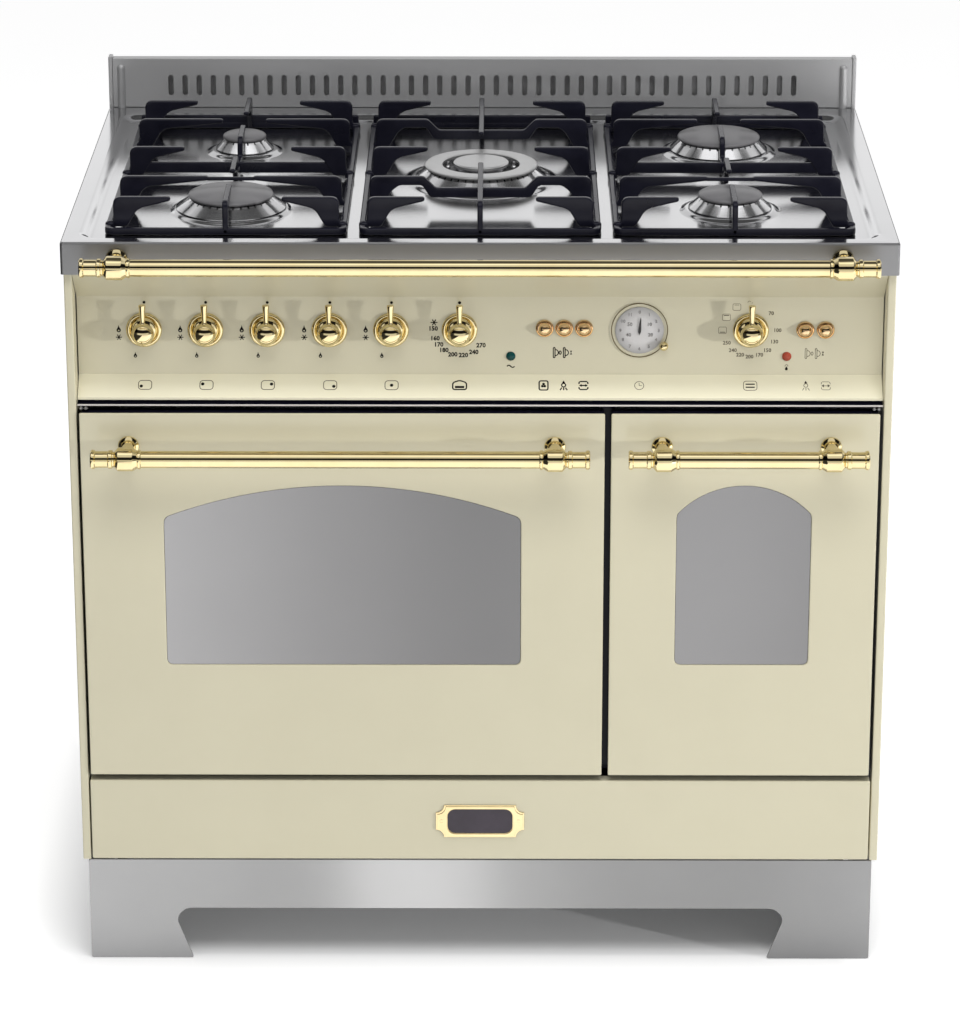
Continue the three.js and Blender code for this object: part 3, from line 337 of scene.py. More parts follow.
def finish(name, dark, light, roughness, metallic=0.0, cloud=3.0, grain=(500, 500, 500), relief=0.03,
           depth=0.0004, coat=0.0, specular=0.5):
    """A surface whose colour and gloss drift between two values, with a fine relief."""
    material = bpy.data.materials.new(name)
    material.use_nodes = True
    tree = material.node_tree
    shader = tree.nodes["Principled BSDF"]
    shader.inputs["Metallic"].default_value = metallic
    shader.inputs["Specular IOR Level"].default_value = specular
    shader.inputs["Coat Weight"].default_value = coat
    shader.inputs["Coat Roughness"].default_value = 0.06
    drift = tree.nodes.new("ShaderNodeGroup")
    drift.node_tree = CLOUDY_CHANGE
    drift.inputs["Scale"].default_value = cloud
    colour = tree.nodes.new("ShaderNodeMix")
    colour.data_type = "RGBA"
    colour.inputs["A"].default_value = (*dark, 1)
    colour.inputs["B"].default_value = (*light, 1)
    link(tree, drift.outputs["Amount"], colour.inputs["Factor"])
    link(tree, colour.outputs["Result"], shader.inputs["Base Color"])
    texture = tree.nodes.new("ShaderNodeGroup")
    texture.node_tree = SURFACE_GRAIN
    texture.inputs["Fineness"].default_value = grain
    both = tree.nodes.new("ShaderNodeMix")
    both.inputs["Factor"].default_value = 0.5
    link(tree, drift.outputs["Amount"], both.inputs["A"])
    link(tree, texture.outputs["Relief"], both.inputs["B"])
    link(tree, map_range(tree, both.outputs["Result"], *roughness), shader.inputs["Roughness"])
    bump = tree.nodes.new("ShaderNodeBump")
    bump.inputs["Strength"].default_value = relief
    bump.inputs["Distance"].default_value = depth
    link(tree, texture.outputs["Relief"], bump.inputs["Height"])
    link(tree, bump.outputs["Normal"], shader.inputs["Normal"])
    return material


satin_steel = finish("satin_steel", (0.62, 0.62, 0.63), (0.68, 0.68, 0.69), (0.12, 0.17), metallic=1.0,
                     grain=(60, 900, 900), relief=0.015)
brushed_steel = finish("brushed_steel", (0.31, 0.31, 0.315), (0.36, 0.36, 0.365), (0.44, 0.54), metallic=1.0,
                       cloud=1.6, grain=(40, 900, 900), relief=0.03)


def rounded_rectangle(x0, x1, y0, y1, radius, steps=6):
    """Corners of a rounded rectangle, anticlockwise from the right end of the right side."""
    corners = ((x1 - radius, y1 - radius, 0), (x0 + radius, y1 - radius, 90),
               (x0 + radius, y0 + radius, 180), (x1 - radius, y0 + radius, 270))
    points = []
    for x, y, start in corners:
        for i in range(steps + 1):
            angle = math.radians(start + 90 * i / steps)
            points.append((x + radius * math.cos(angle), y + radius * math.sin(angle)))
    return points


def arc(x, y, radius, start, end, steps):
    """Points on a circle's arc, angles in degrees."""
    angles = [math.radians(start + (end - start) * i / steps) for i in range(steps + 1)]
    return [(x + radius * math.cos(a), y + radius * math.sin(a)) for a in angles]


def loop_of(work, points):
    return [work.verts.new(p) for p in points]


def band(work, first, second):
    """Quads between two closed rows of equally many corners."""
    count = len(first)
    for i in range(count):
        k = (i + 1) % count
        work.faces.new((first[i], first[k], second[k], second[i]))


def bands(work, loops):
    for first, second in zip(loops, loops[1:]):
        band(work, first, second)


def cover(work, loops, normal):
    """Flat face bounded by the first loop, with the other loops as holes in it."""
    edges = []
    for points in loops:
        for a, b in zip(points, points[1:] + points[:1]):
            edges.append(work.edges.get((a, b)) or work.edges.new((a, b)))
    bmesh.ops.triangle_fill(work, use_beauty=True, edges=edges, normal=normal)


def turned(work, profile, centre, axis="up", segments=64, notches=None):
    """A profile of (radius, height) turned about a line through centre; axis is up, out or across.

    notches is (count, cut profile): that many slots are cut by giving part of each turn the other profile."""
    frames = {
        "up": (Vector((1, 0, 0)), Vector((0, 1, 0)), Vector((0, 0, 1))),
        "out": (Vector((1, 0, 0)), Vector((0, 0, 1)), Vector((0, -1, 0))),
        "across": (Vector((0, 1, 0)), Vector((0, 0, 1)), Vector((1, 0, 0))),
    }
    first, second, along = frames[axis]
    if notches:
        count, cut = notches
        step = 2 * math.pi / count
        turns = []
        for i in range(count):
            start = 2 * math.pi * i / count
            turns += [(start, cut), (start + step * 0.17, cut), (start + step * 0.19, profile),
                      (start + step * 0.60, profile), (start + step * 0.98, profile)]
    else:
        turns = [(2 * math.pi * i / segments, profile) for i in range(segments)]
    centre = Vector(centre)
    poles = {}
    columns = []
    for angle, shape in turns:
        column = []
        for k, (radius, height) in enumerate(shape):
            if radius == 0:
                if k not in poles:
                    poles[k] = work.verts.new(centre + along * height)
                column.append(poles[k])
            else:
                spoke = first * math.cos(angle) + second * math.sin(angle)
                column.append(work.verts.new(centre + spoke * radius + along * height))
        columns.append(column)
    for a, b in zip(columns, columns[1:] + columns[:1]):
        for k in range(len(profile) - 1):
            corners = []
            for corner in (a[k], b[k], b[k + 1], a[k + 1]):
                if corner not in corners:
                    corners.append(corner)
            if len(corners) > 2:
                work.faces.new(corners)


def finished(name, work, material, crease=32.0):
    """A drawing in millimetres from the middle of the hob, made an object in the frame."""
    bmesh.ops.remove_doubles(work, verts=work.verts, dist=0.002)
    bmesh.ops.dissolve_degenerate(work, edges=work.edges, dist=0.0005)
    bmesh.ops.recalc_face_normals(work, faces=work.faces)
    work.transform(Matrix.Translation((0, HOB_MIDDLE_Y, 0)) @ Matrix.Scale(0.001, 4))
    mesh = bpy.data.meshes.new(name)
    work.to_mesh(mesh)
    work.free()
    mesh.polygons.foreach_set("use_smooth", [True] * len(mesh.polygons))
    mesh.set_sharp_from_angle(angle=math.radians(crease))
    mesh.materials.append(material)
    piece = bpy.data.objects.new(name, mesh)
    bpy.context.scene.collection.objects.link(piece)
    flats = piece.modifiers.new("flats_kept_flat", "WEIGHTED_NORMAL")
    flats.keep_sharp = True
    piece.data = bpy.data.meshes.new_from_object(piece.evaluated_get(bpy.context.evaluated_depsgraph_get()))
    piece.modifiers.clear()
    bpy.data.meshes.remove(mesh)
    piece.data.name = name
    return piece


def round_seat(work, x, y, outer, inner, floor, top):
    """Low pressed plateau with an S-shaped edge."""
    profile = [(0, floor - 1), (outer + 2, floor - 1), (outer + 2, floor - 0.1)]
    steps = 8
    for i in range(steps + 1):
        share = i / steps
        lift = (1 - math.cos(math.pi * share)) / 2
        profile.append((outer + (inner - outer) * share, floor + 0.03 + (top - floor) * lift))
    profile.append((0, top + 0.03))
    turned(work, profile, (x, y, 0), segments=96)


HOB_HALF, HOB_FRONT, HOB_REAR, HOB_CORNER, HOB_SHEET = 450, -300, 283.7, 3.0, 2
RIM_TOP, RIM_ROUND, LIP_FOOT = 850, 2.5, 814
WELL_FLOOR, COVE_WIDTH, COVE_STEPS, SEAT_TOP = 844, 15, 12, 847
BURNER_X, FRONT_Y, REAR_Y, CENTRE_Y = 275.5, -149, 102.5, -21.5  # the burners' middles


def hob_outline(inward, z):
    corners = rounded_rectangle(-HOB_HALF + inward, HOB_HALF - inward, HOB_FRONT + inward, HOB_REAR - inward,
                                HOB_CORNER)
    return [(x, y, z) for x, y in corners]


hob = bmesh.new()
hob_rings = [(0, LIP_FOOT)]
hob_rings += [(RIM_ROUND - x, RIM_TOP - RIM_ROUND + z) for x, z in arc(0, 0, RIM_ROUND, 0, 90, 5)]
hob_loops = [loop_of(hob, hob_outline(inward, z)) for inward, z in hob_rings]
cove = []
for i in range(COVE_STEPS + 1):
    fall = (1 - math.cos(math.pi * i / COVE_STEPS)) / 2
    cove.append((COVE_WIDTH * i / COVE_STEPS, RIM_TOP + (WELL_FLOOR - RIM_TOP) * fall))
hob_loops += [
    loop_of(hob, [(x, y, z) for x, y in rounded_rectangle(-433 + s, 433 - s, -284 + s, 255 - s, 24 - s)])
    for s, z in cove
]
bands(hob, hob_loops)
cover(hob, [hob_loops[-1]], (0, 0, 1))
under_loops = [hob_loops[0]]
under_loops += [loop_of(hob, hob_outline(HOB_SHEET, z)) for z in (LIP_FOOT, WELL_FLOOR - HOB_SHEET)]
bands(hob, under_loops)
cover(hob, [under_loops[-1]], (0, 0, -1))
for x, y, outer, inner in ((-BURNER_X, FRONT_Y, 67.5, 61.5), (-BURNER_X, REAR_Y, 45, 36.5),
                           (BURNER_X, FRONT_Y, 56, 48), (BURNER_X, REAR_Y, 67.3, 59.6),
                           (0, CENTRE_Y, 88, 77)):
    round_seat(hob, x, y, outer, inner, WELL_FLOOR, SEAT_TOP)
hob_pressing = finished("hob_pressing", hob, satin_steel, crease=40)
hob_pressing.data.materials.append(brushed_steel)
for facet in hob_pressing.data.polygons:
    outermost = abs(facet.center.x) > 0.445 or facet.center.y < -0.27
    if outermost and abs(facet.normal.z) < 0.97:
        facet.material_index = 1
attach(hob_pressing, "cabinet")
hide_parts("hob_top")

# ---------------------------------------------------------------- backguard
# Stainless upstand folded from one sheet, with a row of round-ended slots that let the ovens' cooling air
# out. A half-round rib is pressed near each end, and an end cap closes the fold.


def geometry_tree(name, inputs):
    """A geometry node tree with named inputs, its input and output nodes, and each input's identifier."""
    tree = bpy.data.node_groups.new(name, "GeometryNodeTree")
    keys = {}
    for label, kind in inputs:
        keys[label] = tree.interface.new_socket(name=label, in_out="INPUT", socket_type=kind).identifier
    tree.interface.new_socket(name="Geometry", in_out="OUTPUT", socket_type="NodeSocketGeometry")
    return tree, tree.nodes.new("NodeGroupInput"), tree.nodes.new("NodeGroupOutput"), keys


def tree_math(tree, operation, first, second):
    node = tree.nodes.new("ShaderNodeMath")
    node.operation = operation
    for socket, value in zip(node.inputs, (first, second)):
        if isinstance(value, (int, float)):
            socket.default_value = value
        else:
            link(tree, value, socket)
    return node.outputs[0]


def grown(name, tree, keys, values):
    """Runs a geometry node tree once and returns its result as a plain mesh."""
    mesh = bpy.data.meshes.new(name)
    holder = bpy.data.objects.new(name, mesh)
    bpy.context.scene.collection.objects.link(holder)
    modifier = holder.modifiers.new("growth", "NODES")
    modifier.node_group = tree
    for label, value in values.items():
        modifier[keys[label]] = value
    depsgraph = bpy.context.evaluated_depsgraph_get()
    result = bpy.data.meshes.new_from_object(holder.evaluated_get(depsgraph))
    bpy.data.objects.remove(holder)
    return result


def slotted_sheet_tree():
    tree, given, result, keys = geometry_tree("slotted_sheet", [
        ("Sheet Width", "NodeSocketFloat"), ("Sheet Height", "NodeSocketFloat"),
        ("Thickness", "NodeSocketFloat"), ("Slot Count", "NodeSocketInt"), ("Slot Pitch", "NodeSocketFloat"),
        ("Slot Width", "NodeSocketFloat"), ("Slot Height", "NodeSocketFloat"),
        ("Slot Middle", "NodeSocketFloat"), ("Material", "NodeSocketMaterial")])
    sheet = tree.nodes.new("GeometryNodeCurvePrimitiveQuadrilateral")
    link(tree, given.outputs["Sheet Width"], sheet.inputs["Width"])
    link(tree, given.outputs["Sheet Height"], sheet.inputs["Height"])
    slot = tree.nodes.new("GeometryNodeCurvePrimitiveQuadrilateral")
    link(tree, given.outputs["Slot Width"], slot.inputs["Width"])
    link(tree, given.outputs["Slot Height"], slot.inputs["Height"])
    rounding = tree.nodes.new("GeometryNodeFilletCurve")
    rounding.mode = "POLY"
    rounding.inputs["Count"].default_value = 4
    link(tree, slot.outputs[0], rounding.inputs["Curve"])
    narrow = tree_math(tree, "MINIMUM", given.outputs["Slot Width"], given.outputs["Slot Height"])
    link(tree, tree_math(tree, "MULTIPLY", narrow, 0.499), rounding.inputs["Radius"])
    row = tree.nodes.new("GeometryNodeMeshLine")
    row.mode = "OFFSET"
    link(tree, given.outputs["Slot Count"], row.inputs["Count"])
    pitch = tree.nodes.new("ShaderNodeCombineXYZ")
    link(tree, given.outputs["Slot Pitch"], pitch.inputs["X"])
    link(tree, pitch.outputs[0], row.inputs["Offset"])
    spaces = tree_math(tree, "SUBTRACT", given.outputs["Slot Count"], 1)
    whole_row = tree_math(tree, "MULTIPLY", spaces, given.outputs["Slot Pitch"])
    half_row = tree_math(tree, "MULTIPLY", whole_row, -0.5)
    start = tree.nodes.new("ShaderNodeCombineXYZ")
    link(tree, half_row, start.inputs["X"])
    link(tree, given.outputs["Slot Middle"], start.inputs["Y"])
    link(tree, start.outputs[0], row.inputs["Start Location"])
    copies = tree.nodes.new("GeometryNodeInstanceOnPoints")
    link(tree, row.outputs[0], copies.inputs["Points"])
    link(tree, rounding.outputs[0], copies.inputs["Instance"])
    real = tree.nodes.new("GeometryNodeRealizeInstances")
    link(tree, copies.outputs[0], real.inputs[0])
    together = tree.nodes.new("GeometryNodeJoinGeometry")
    link(tree, real.outputs[0], together.inputs[0])
    link(tree, sheet.outputs[0], together.inputs[0])
    filled = tree.nodes.new("GeometryNodeFillCurve")
    link(tree, together.outputs[0], filled.inputs[0])
    thick = tree.nodes.new("GeometryNodeExtrudeMesh")
    thick.inputs["Individual"].default_value = False
    link(tree, filled.outputs[0], thick.inputs["Mesh"])
    link(tree, given.outputs["Thickness"], thick.inputs["Offset Scale"])
    back = tree.nodes.new("GeometryNodeFlipFaces")
    link(tree, filled.outputs[0], back.inputs[0])
    closed = tree.nodes.new("GeometryNodeJoinGeometry")
    link(tree, thick.outputs["Mesh"], closed.inputs[0])
    link(tree, back.outputs[0], closed.inputs[0])
    welded = tree.nodes.new("GeometryNodeMergeByDistance")
    welded.inputs["Distance"].default_value = 0.01
    link(tree, closed.outputs[0], welded.inputs[0])
    painted = tree.nodes.new("GeometryNodeSetMaterial")
    link(tree, welded.outputs[0], painted.inputs["Geometry"])
    link(tree, given.outputs["Material"], painted.inputs["Material"])
    link(tree, painted.outputs[0], result.inputs[0])
    return tree, keys


SLOTTED_SHEET, SLOTTED_SHEET_KEYS = slotted_sheet_tree()
FACING_FRONT = Matrix(((1, 0, 0, 0), (0, 0, -1, 0), (0, 1, 0, 0), (0, 0, 0, 1)))


def drawn_in(points, amount):
    """A closed outline moved inwards by an even amount, or outwards where the amount is negative."""
    turn = sum(a[0] * b[1] - b[0] * a[1] for a, b in zip(points, points[1:] + points[:1]))
    side = 1 if turn > 0 else -1
    moved = []
    for before, here, after in zip(points[-1:] + points[:-1], points, points[1:] + points[:1]):
        arriving = Vector((here[0] - before[0], here[1] - before[1])).normalized()
        leaving = Vector((after[0] - here[0], after[1] - here[1])).normalized()
        first, second = Vector((-arriving.y, arriving.x)), Vector((-leaving.y, leaving.x))
        shift = (first + second) / max(1 + first.dot(second), 0.4) * amount * side
        moved.append((here[0] + shift.x, here[1] + shift.y))
    return moved


def softened(points, radius, steps=3):
    """A closed outline with each corner rounded as far as its sides allow."""
    result = []
    for before, here, after in zip(points[-1:] + points[:-1], points, points[1:] + points[:1]):
        here = Vector(here)
        back, ahead = Vector(before) - here, Vector(after) - here
        start = here + back.normalized() * min(radius, back.length * 0.45)
        end = here + ahead.normalized() * min(radius, ahead.length * 0.45)
        for i in range(steps + 1):
            share = i / steps
            result.append(tuple(start * (1 - share) ** 2 + here * 2 * share * (1 - share) + end * share ** 2))
    return result


def facing_front(a, b, c):
    return (a, c, b)


def facing_side(a, b, c):
    return (c, a, b)


def lying(a, b, c):
    return (a, b, c)


def plate(work, outline, low, high, lift, bevel=0.8, holes=(), steps=3):
    """A flat plate with rounded edges: an outline with holes, given its thickness along the third axis."""
    edge = [(bevel * (1 - math.sin(math.pi / 2 * i / steps)), bevel * (1 - math.cos(math.pi / 2 * i / steps)))
            for i in range(steps + 1)] if bevel else [(0, 0)]
    stations = [(inward, low + rise) for inward, rise in edge]
    stations += [(inward, high - rise) for inward, rise in reversed(edge)]
    rims = []
    for points, way in [(outline, 1)] + [(hole, -1) for hole in holes]:
        loops = [loop_of(work, [lift(a, b, level) for a, b in drawn_in(points, way * inward)])
                 for inward, level in stations]
        bands(work, loops)
        rims.append(loops)
    upwards = Vector(lift(0, 0, 1)) - Vector(lift(0, 0, 0))
    cover(work, [loops[0] for loops in rims], -upwards)
    cover(work, [loops[-1] for loops in rims], upwards)


def slab(work, x0, x1, y0, y1, z0, z1, bevel=0.6):
    """Squared bar or sheet with its edges rounded."""
    plate(work, rounded_rectangle(x0, x1, y0, y1, bevel, 3), z0, z1, lying, bevel=bevel * 0.9)


backguard_steel = finish("backguard_steel", (0.52, 0.52, 0.525), (0.60, 0.60, 0.605), (0.46, 0.56),
                         metallic=0.75, cloud=1.2, grain=(40, 900, 900), relief=0.03)
slotted = grown("backguard_slots", SLOTTED_SHEET, SLOTTED_SHEET_KEYS, {
    "Sheet Width": 889.0, "Sheet Height": 59.0, "Thickness": 1.5, "Slot Count": 45, "Slot Pitch": 17.04,
    "Slot Width": 6.4, "Slot Height": 25.3, "Slot Middle": -2.65, "Material": backguard_steel})
CAP_FOOT, RIB_FOOT, RIB_HEAD, RIB_RADIUS = 814.3, 849.5, 898, 5
upstand = bmesh.new()
upstand.from_mesh(slotted)
upstand.transform(Matrix.Translation((0, 285.5, 880)) @ FACING_FRONT)
slab(upstand, -444.5, 444.5, 284.2, 298, 908.2, 910, 0.7)
slab(upstand, -444.5, 444.5, 296.4, 298, 850.4, 908.4, 0.5)
for side in (-1, 1):
    slab(upstand, *sorted((side * 444.8, side * 449.7)), 284, 300, CAP_FOOT, 912, 1.0)
    slab(upstand, *sorted((side * 436, side * 446)), 298.2, 299.8, CAP_FOOT, 852, 0.6)
    rib = [(0, RIB_FOOT), (RIB_RADIUS, RIB_FOOT)] + arc(0, RIB_HEAD, RIB_RADIUS, 0, 90, 5)[:-1]
    rib.append((0, RIB_HEAD + RIB_RADIUS))
    turned(upstand, rib, (side * 434.5, 285.2, 0), segments=32)
backguard_upstand = finished("backguard_upstand", upstand, backguard_steel)
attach(backguard_upstand, "cabinet")
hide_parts("backguard")

# ---------------------------------------------------------------- burners
# Each burner is a turned aluminium body with flame slots milled round its crown, and a pressed steel cap in
# matt black enamel that rests on it.

turned_alloy = finish("turned_alloy", (0.62, 0.62, 0.63), (0.74, 0.74, 0.75), (0.12, 0.24), metallic=1.0,
                      cloud=12.0, grain=(90, 90, 1400), relief=0.06)
cap_enamel = finish("cap_enamel", (0.120, 0.118, 0.123), (0.150, 0.148, 0.153), (0.34, 0.44), cloud=14.0,
                    grain=(900, 900, 900), relief=0.04)

BURNERS = (  # place, the radii of cap, skirt and crown, and the number of flame slots
    ("front_left", -BURNER_X, FRONT_Y, 47, 61, 45, 34),
    ("rear_left", -BURNER_X, REAR_Y, 25.2, 33.5, 23.5, 18),
    ("front_right", BURNER_X, FRONT_Y, 35.5, 46, 33.5, 26),
    ("rear_right", BURNER_X, REAR_Y, 47.7, 56.6, 45.5, 34),
)
for name, x, y, cap, skirt, crown, ports in BURNERS:
    cup = skirt * 0.6
    foot = [(0, 812), (cup, 812), (cup, 847.3), (skirt - 0.6, 847.3), (skirt, 847.9), (skirt - 0.2, 848.8)]
    lip = crown + (skirt - crown) * 0.20
    body_work = bmesh.new()
    whole = foot + [(lip, 856.9), (crown + 0.6, 859.0), (crown, 859.5), (0, 859.5)]
    notched = foot + [(lip, 856.9), (lip - 4.0, 857.2), (lip - 4.6, 857.4), (0, 859.5)]
    turned(body_work, whole, (x, y, 0), notches=(ports, notched))
    burner = finished(f"burner_{name}", body_work, turned_alloy, crease=28)
    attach(burner, "cabinet")
    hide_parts(f"burner_body_{name}")
    cap_work = bmesh.new()
    brim = [(0, 859.8), (cap - 2, 859.8), (cap - 0.5, 860.3), (cap, 861.3), (cap, 862.2)]
    dome = [(cap * math.sin(math.radians(a)), 862.4 + 6.0 * math.cos(math.radians(a)))
            for a in range(80, 0, -10)]
    turned(cap_work, brim + dome + [(0, 868.3)], (x, y, 0), segments=80)
    lid = finished(f"cap_{name}", cap_work, cap_enamel, crease=40)
    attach(lid, "cabinet")
    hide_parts(f"burner_cap_{name}")

# Centre burner: an outer crown and a small inner crown with an open channel between them, a flat ring plate
# over the outer one, a flat cap over the inner one, and the spark electrode and flame sensor in the channel.

satin_plate = finish("satin_plate", (0.52, 0.52, 0.52), (0.60, 0.60, 0.60), (0.32, 0.42), metallic=0.85,
                     cloud=10.0, grain=(700, 700, 700), relief=0.05)
body_work = bmesh.new()
foot = [(0, 812), (44, 812), (44, 847.3), (73.4, 847.3), (74, 847.9), (73.8, 848.8)]
channel = [(45.4, 859.5), (44.5, 852), (30, 852), (29, 861.4), (0, 861.5)]
whole = foot + [(63.6, 856.6), (61, 859.0), (60.5, 859.5)] + channel
notched = foot + [(63.6, 856.6), (59, 856.9), (58.4, 857.2)] + channel
turned(body_work, whole, (0, CENTRE_Y, 0), notches=(44, notched))
centre_burner = finished("burner_centre", body_work, turned_alloy, crease=28)
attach(centre_burner, "cabinet")
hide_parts("burner_body_centre")

ring_work = bmesh.new()
turned(ring_work, [(43.9, 859.8), (63.2, 859.8), (64, 860.5), (64, 861.6), (63.2, 862.6), (61.5, 863.1),
                   (45.2, 863.1), (43.9, 862.2), (43.9, 859.8)], (0, CENTRE_Y, 0), segments=112)
ring_plate = finished("burner_ring_plate", ring_work, satin_plate, crease=40)
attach(ring_plate, "cabinet")
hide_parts("burner_ring_centre")

cap_work = bmesh.new()
turned(cap_work, [(0, 861.8), (30.5, 861.8), (31.3, 862.6), (31.3, 864.4), (30.4, 865.4), (28.6, 865.9),
                  (0, 866.1)], (0, CENTRE_Y, 0), segments=80)
centre_cap = finished("cap_centre", cap_work, satin_plate, crease=40)
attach(centre_cap, "cabinet")
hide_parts("burner_cap_centre")

pins = bmesh.new()
for side in (-1, 1):
    turned(pins, [(0, 851.5), (2.8, 851.5), (2.8, 858), (1.5, 859.5), (1.3, 863.5), (0, 864)],
           (side * 37.3, CENTRE_Y + 4, 0), segments=20)
burner_pins = finished("burner_pins", pins, turned_alloy)
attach(burner_pins, "cabinet")

# ---------------------------------------------------------------- pan supports
# Three enamelled iron grates that stand loose in the well. Each is a low frame of bars with upright fingers
# along both sides and spines fore and aft that point at the burners, all with rounded edges.

enamelled_iron = finish("enamelled_iron", (0.005, 0.005, 0.010), (0.011, 0.011, 0.019), (0.20, 0.30),
                        cloud=9.0, grain=(650, 650, 650), relief=0.02, specular=0.28)

FRAME_FOOT, FRAME_TOP, REAR_BAR_TOP, REST_TOP = 844.3, 852, 860, 882
GRATE_MIDDLE_Y = -20.5
FINGER_BACK = [(-4, 848.5), (-4, 852), (0, 856), (0, 876), (2, 880), (6, REST_TOP)]
FINGER_UNDER = [(31, 870), (25, 866), (15, 848.5)]


def support_row(work, middle, y, reach, dipped=False):
    """One row of the grate: a finger from each side, or one long finger that dips under the pan's middle."""
    def across(side, points):
        return [(middle + side * (122.5 - inward), z) for inward, z in points]
    if dipped:
        half = FINGER_BACK + [(60, REST_TOP), (73, 869)]
        under = [(67, 858), (58, 872), (33, 872), (25, 866), (15, 848.5)]
        shape = across(-1, half) + across(1, half)[::-1] + across(1, under[::-1]) + across(-1, under)
        plate(work, softened(shape, 3.0), y - 3.5, y + 3.5, facing_front, bevel=1.7)
        return
    for side in (-1, 1):
        shape = across(side, FINGER_BACK + [(reach, REST_TOP), (reach + 0.5, 877.5)] + FINGER_UNDER)
        plate(work, softened(shape, 3.0), y - 3.5, y + 3.5, facing_front, bevel=1.7)


def end_spine(work, middle, end, tip):
    rise = [(0, FRAME_FOOT), (0, 876), (2, 880), (6, REST_TOP), (tip, REST_TOP), (tip, 877.5), (31, 871),
            (21, 864), (13, FRAME_FOOT)]
    shape = [(GRATE_MIDDLE_Y + end * (232.5 - inward), z) for inward, z in rise]
    plate(work, softened(shape, 3.0), middle - 3, middle + 3, facing_side, bevel=1.5)


for name, middle in (("left", -BURNER_X), ("centre", 0), ("right", BURNER_X)):
    grate = bmesh.new()
    outer = rounded_rectangle(middle - 131, middle + 131, -253, 212, 10)
    inner = rounded_rectangle(middle - 124, middle + 124, -246, 205, 4)
    plate(grate, outer, FRAME_FOOT, FRAME_TOP, lying, bevel=1.8, holes=[inner])
    rear_bar = rounded_rectangle(middle - 129, middle + 129, 205.2, 211.8, 2.5)
    plate(grate, rear_bar, 850, REAR_BAR_TOP, lying, bevel=1.8)
    for y in (-231, GRATE_MIDDLE_Y, 190):
        support_row(grate, middle, y, 62)
        for side in (-1, 1):
            dome = [(5.6 * math.cos(math.radians(a)), 851.5 + 3.4 * math.sin(math.radians(a)))
                    for a in range(0, 90, 18)]
            boss = [(0, 846), (5.6, 846)] + dome + [(0, 854.9)]
            turned(grate, boss, (middle + side * 126, y, 0), segments=24)
    for y in (-146, 105):
        support_row(grate, middle, y, 97.5, dipped=name == "centre")
    for end in (-1, 1):
        end_spine(grate, middle, end, 167.5 if name == "centre" else 76)
    if name != "centre":
        over = [(99, REST_TOP), (44, REST_TOP), (38, 876), (34, 861)]
        below = [(99, 877.5), (62, 870), (52, 862), (42, 850)]
        web = [(GRATE_MIDDLE_Y - out, z) for out, z in over]
        web += [(GRATE_MIDDLE_Y + out, z) for out, z in over[::-1]]
        web += [(GRATE_MIDDLE_Y + out, z) for out, z in below]
        web += [(GRATE_MIDDLE_Y - out, z) for out, z in below[::-1]]
        plate(grate, softened(web, 3.0), middle - 3, middle + 3, facing_side, bevel=1.5)
        cross = rounded_rectangle(middle - 112, middle + 112, 851.5, 864, 2.0, 2)
        plate(grate, cross, -23.2, -17.8, facing_front, bevel=1.7)
        slab(grate, middle - 27, middle + 27, -147, -143, 876.5, 880.5, 1.2)
    support = finished(f"pan_support_{name}_iron", grate, enamelled_iron, crease=50)
    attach(support, f"pan_support_{name}")
    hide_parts(f"pan_support_{name}")

# ---------------------------------------------------------------- front rail
# Polished brass towel rail on two turned stand-offs: a bar with a barrel at each stand-off and a turned
# finial beyond it. The parts are turned, polished, lacquered and held by a stud through the hob's lip.

polished_brass = finish("polished_brass", (0.78, 0.65, 0.36), (0.84, 0.72, 0.43), (0.03, 0.06), metallic=1.0,
                        cloud=16.0, grain=(300, 1600, 1600), relief=0.002)


def turned_rail(work, middle, half, post, face_y, z, out):
    """A brass bar along X, out in front of face_y, with its stand-offs at middle plus and minus post."""
    axis_y = face_y - out
    end = [(0, half), (9.2, half), (10.3, half - 0.9), (10.7, half - 2.2), (10.3, half - 4.2),
           (9.1, half - 5.3), (9.1, post + 18.6), (10.1, post + 17.6), (10.25, post + 16),
           (10.0, post + 14.2), (8.8, post + 13.4), (8.4, post + 12), (8.6, post + 11.6),
           (12.2, post + 8.4), (12.7, post + 7.8), (13, post + 6.8), (13, post - 7.6),
           (12.6, post - 8.8), (10.1, post - 12.6), (9.8, post - 13.4), (10.7, post - 14.2),
           (10.9, post - 15.4), (10.5, post - 16.6), (9.4, post - 17.4), (9.4, 0)]
    profile = end + [(r, -x) for r, x in end[-2::-1]]
    turned(work, profile, (middle, axis_y, z), axis="across", segments=48)
    for side in (-1, 1):
        stand_off = [(0, 0.3), (11.4, 0.3), (11.6, 1.6), (11.0, 2.8), (9.6, 3.6), (8.2, 4.6), (7.4, 7),
                     (7.4, out - 14), (7.6, out - 12), (7.8, out - 11), (7.8, out - 3), (0, out - 3)]
        turned(work, stand_off, (middle + side * post, face_y, z), axis="out", segments=40)


RAIL_HALF, RAIL_POST, RAIL_Z, RAIL_OUT = 426, 389, 832, 35
rail_work = bmesh.new()
turned_rail(rail_work, 0, RAIL_HALF, RAIL_POST, HOB_FRONT, RAIL_Z, RAIL_OUT)
front_rail = finished("towel_rail", rail_work, polished_brass, crease=30)
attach(front_rail, "cabinet")
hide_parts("front_rail")

# ---------------------------------------------------------------- side panels
# Steel sides in cream enamel, each folded round at the front into a narrow flange that frames the doors,
# with a return behind it. They are screwed to the chassis and carry the hob.

cream_enamel = finish("cream_enamel", (0.61, 0.57, 0.415), (0.645, 0.605, 0.445), (0.20, 0.28), cloud=2.5,
                      grain=(220, 220, 220), relief=0.02, coat=0.15)

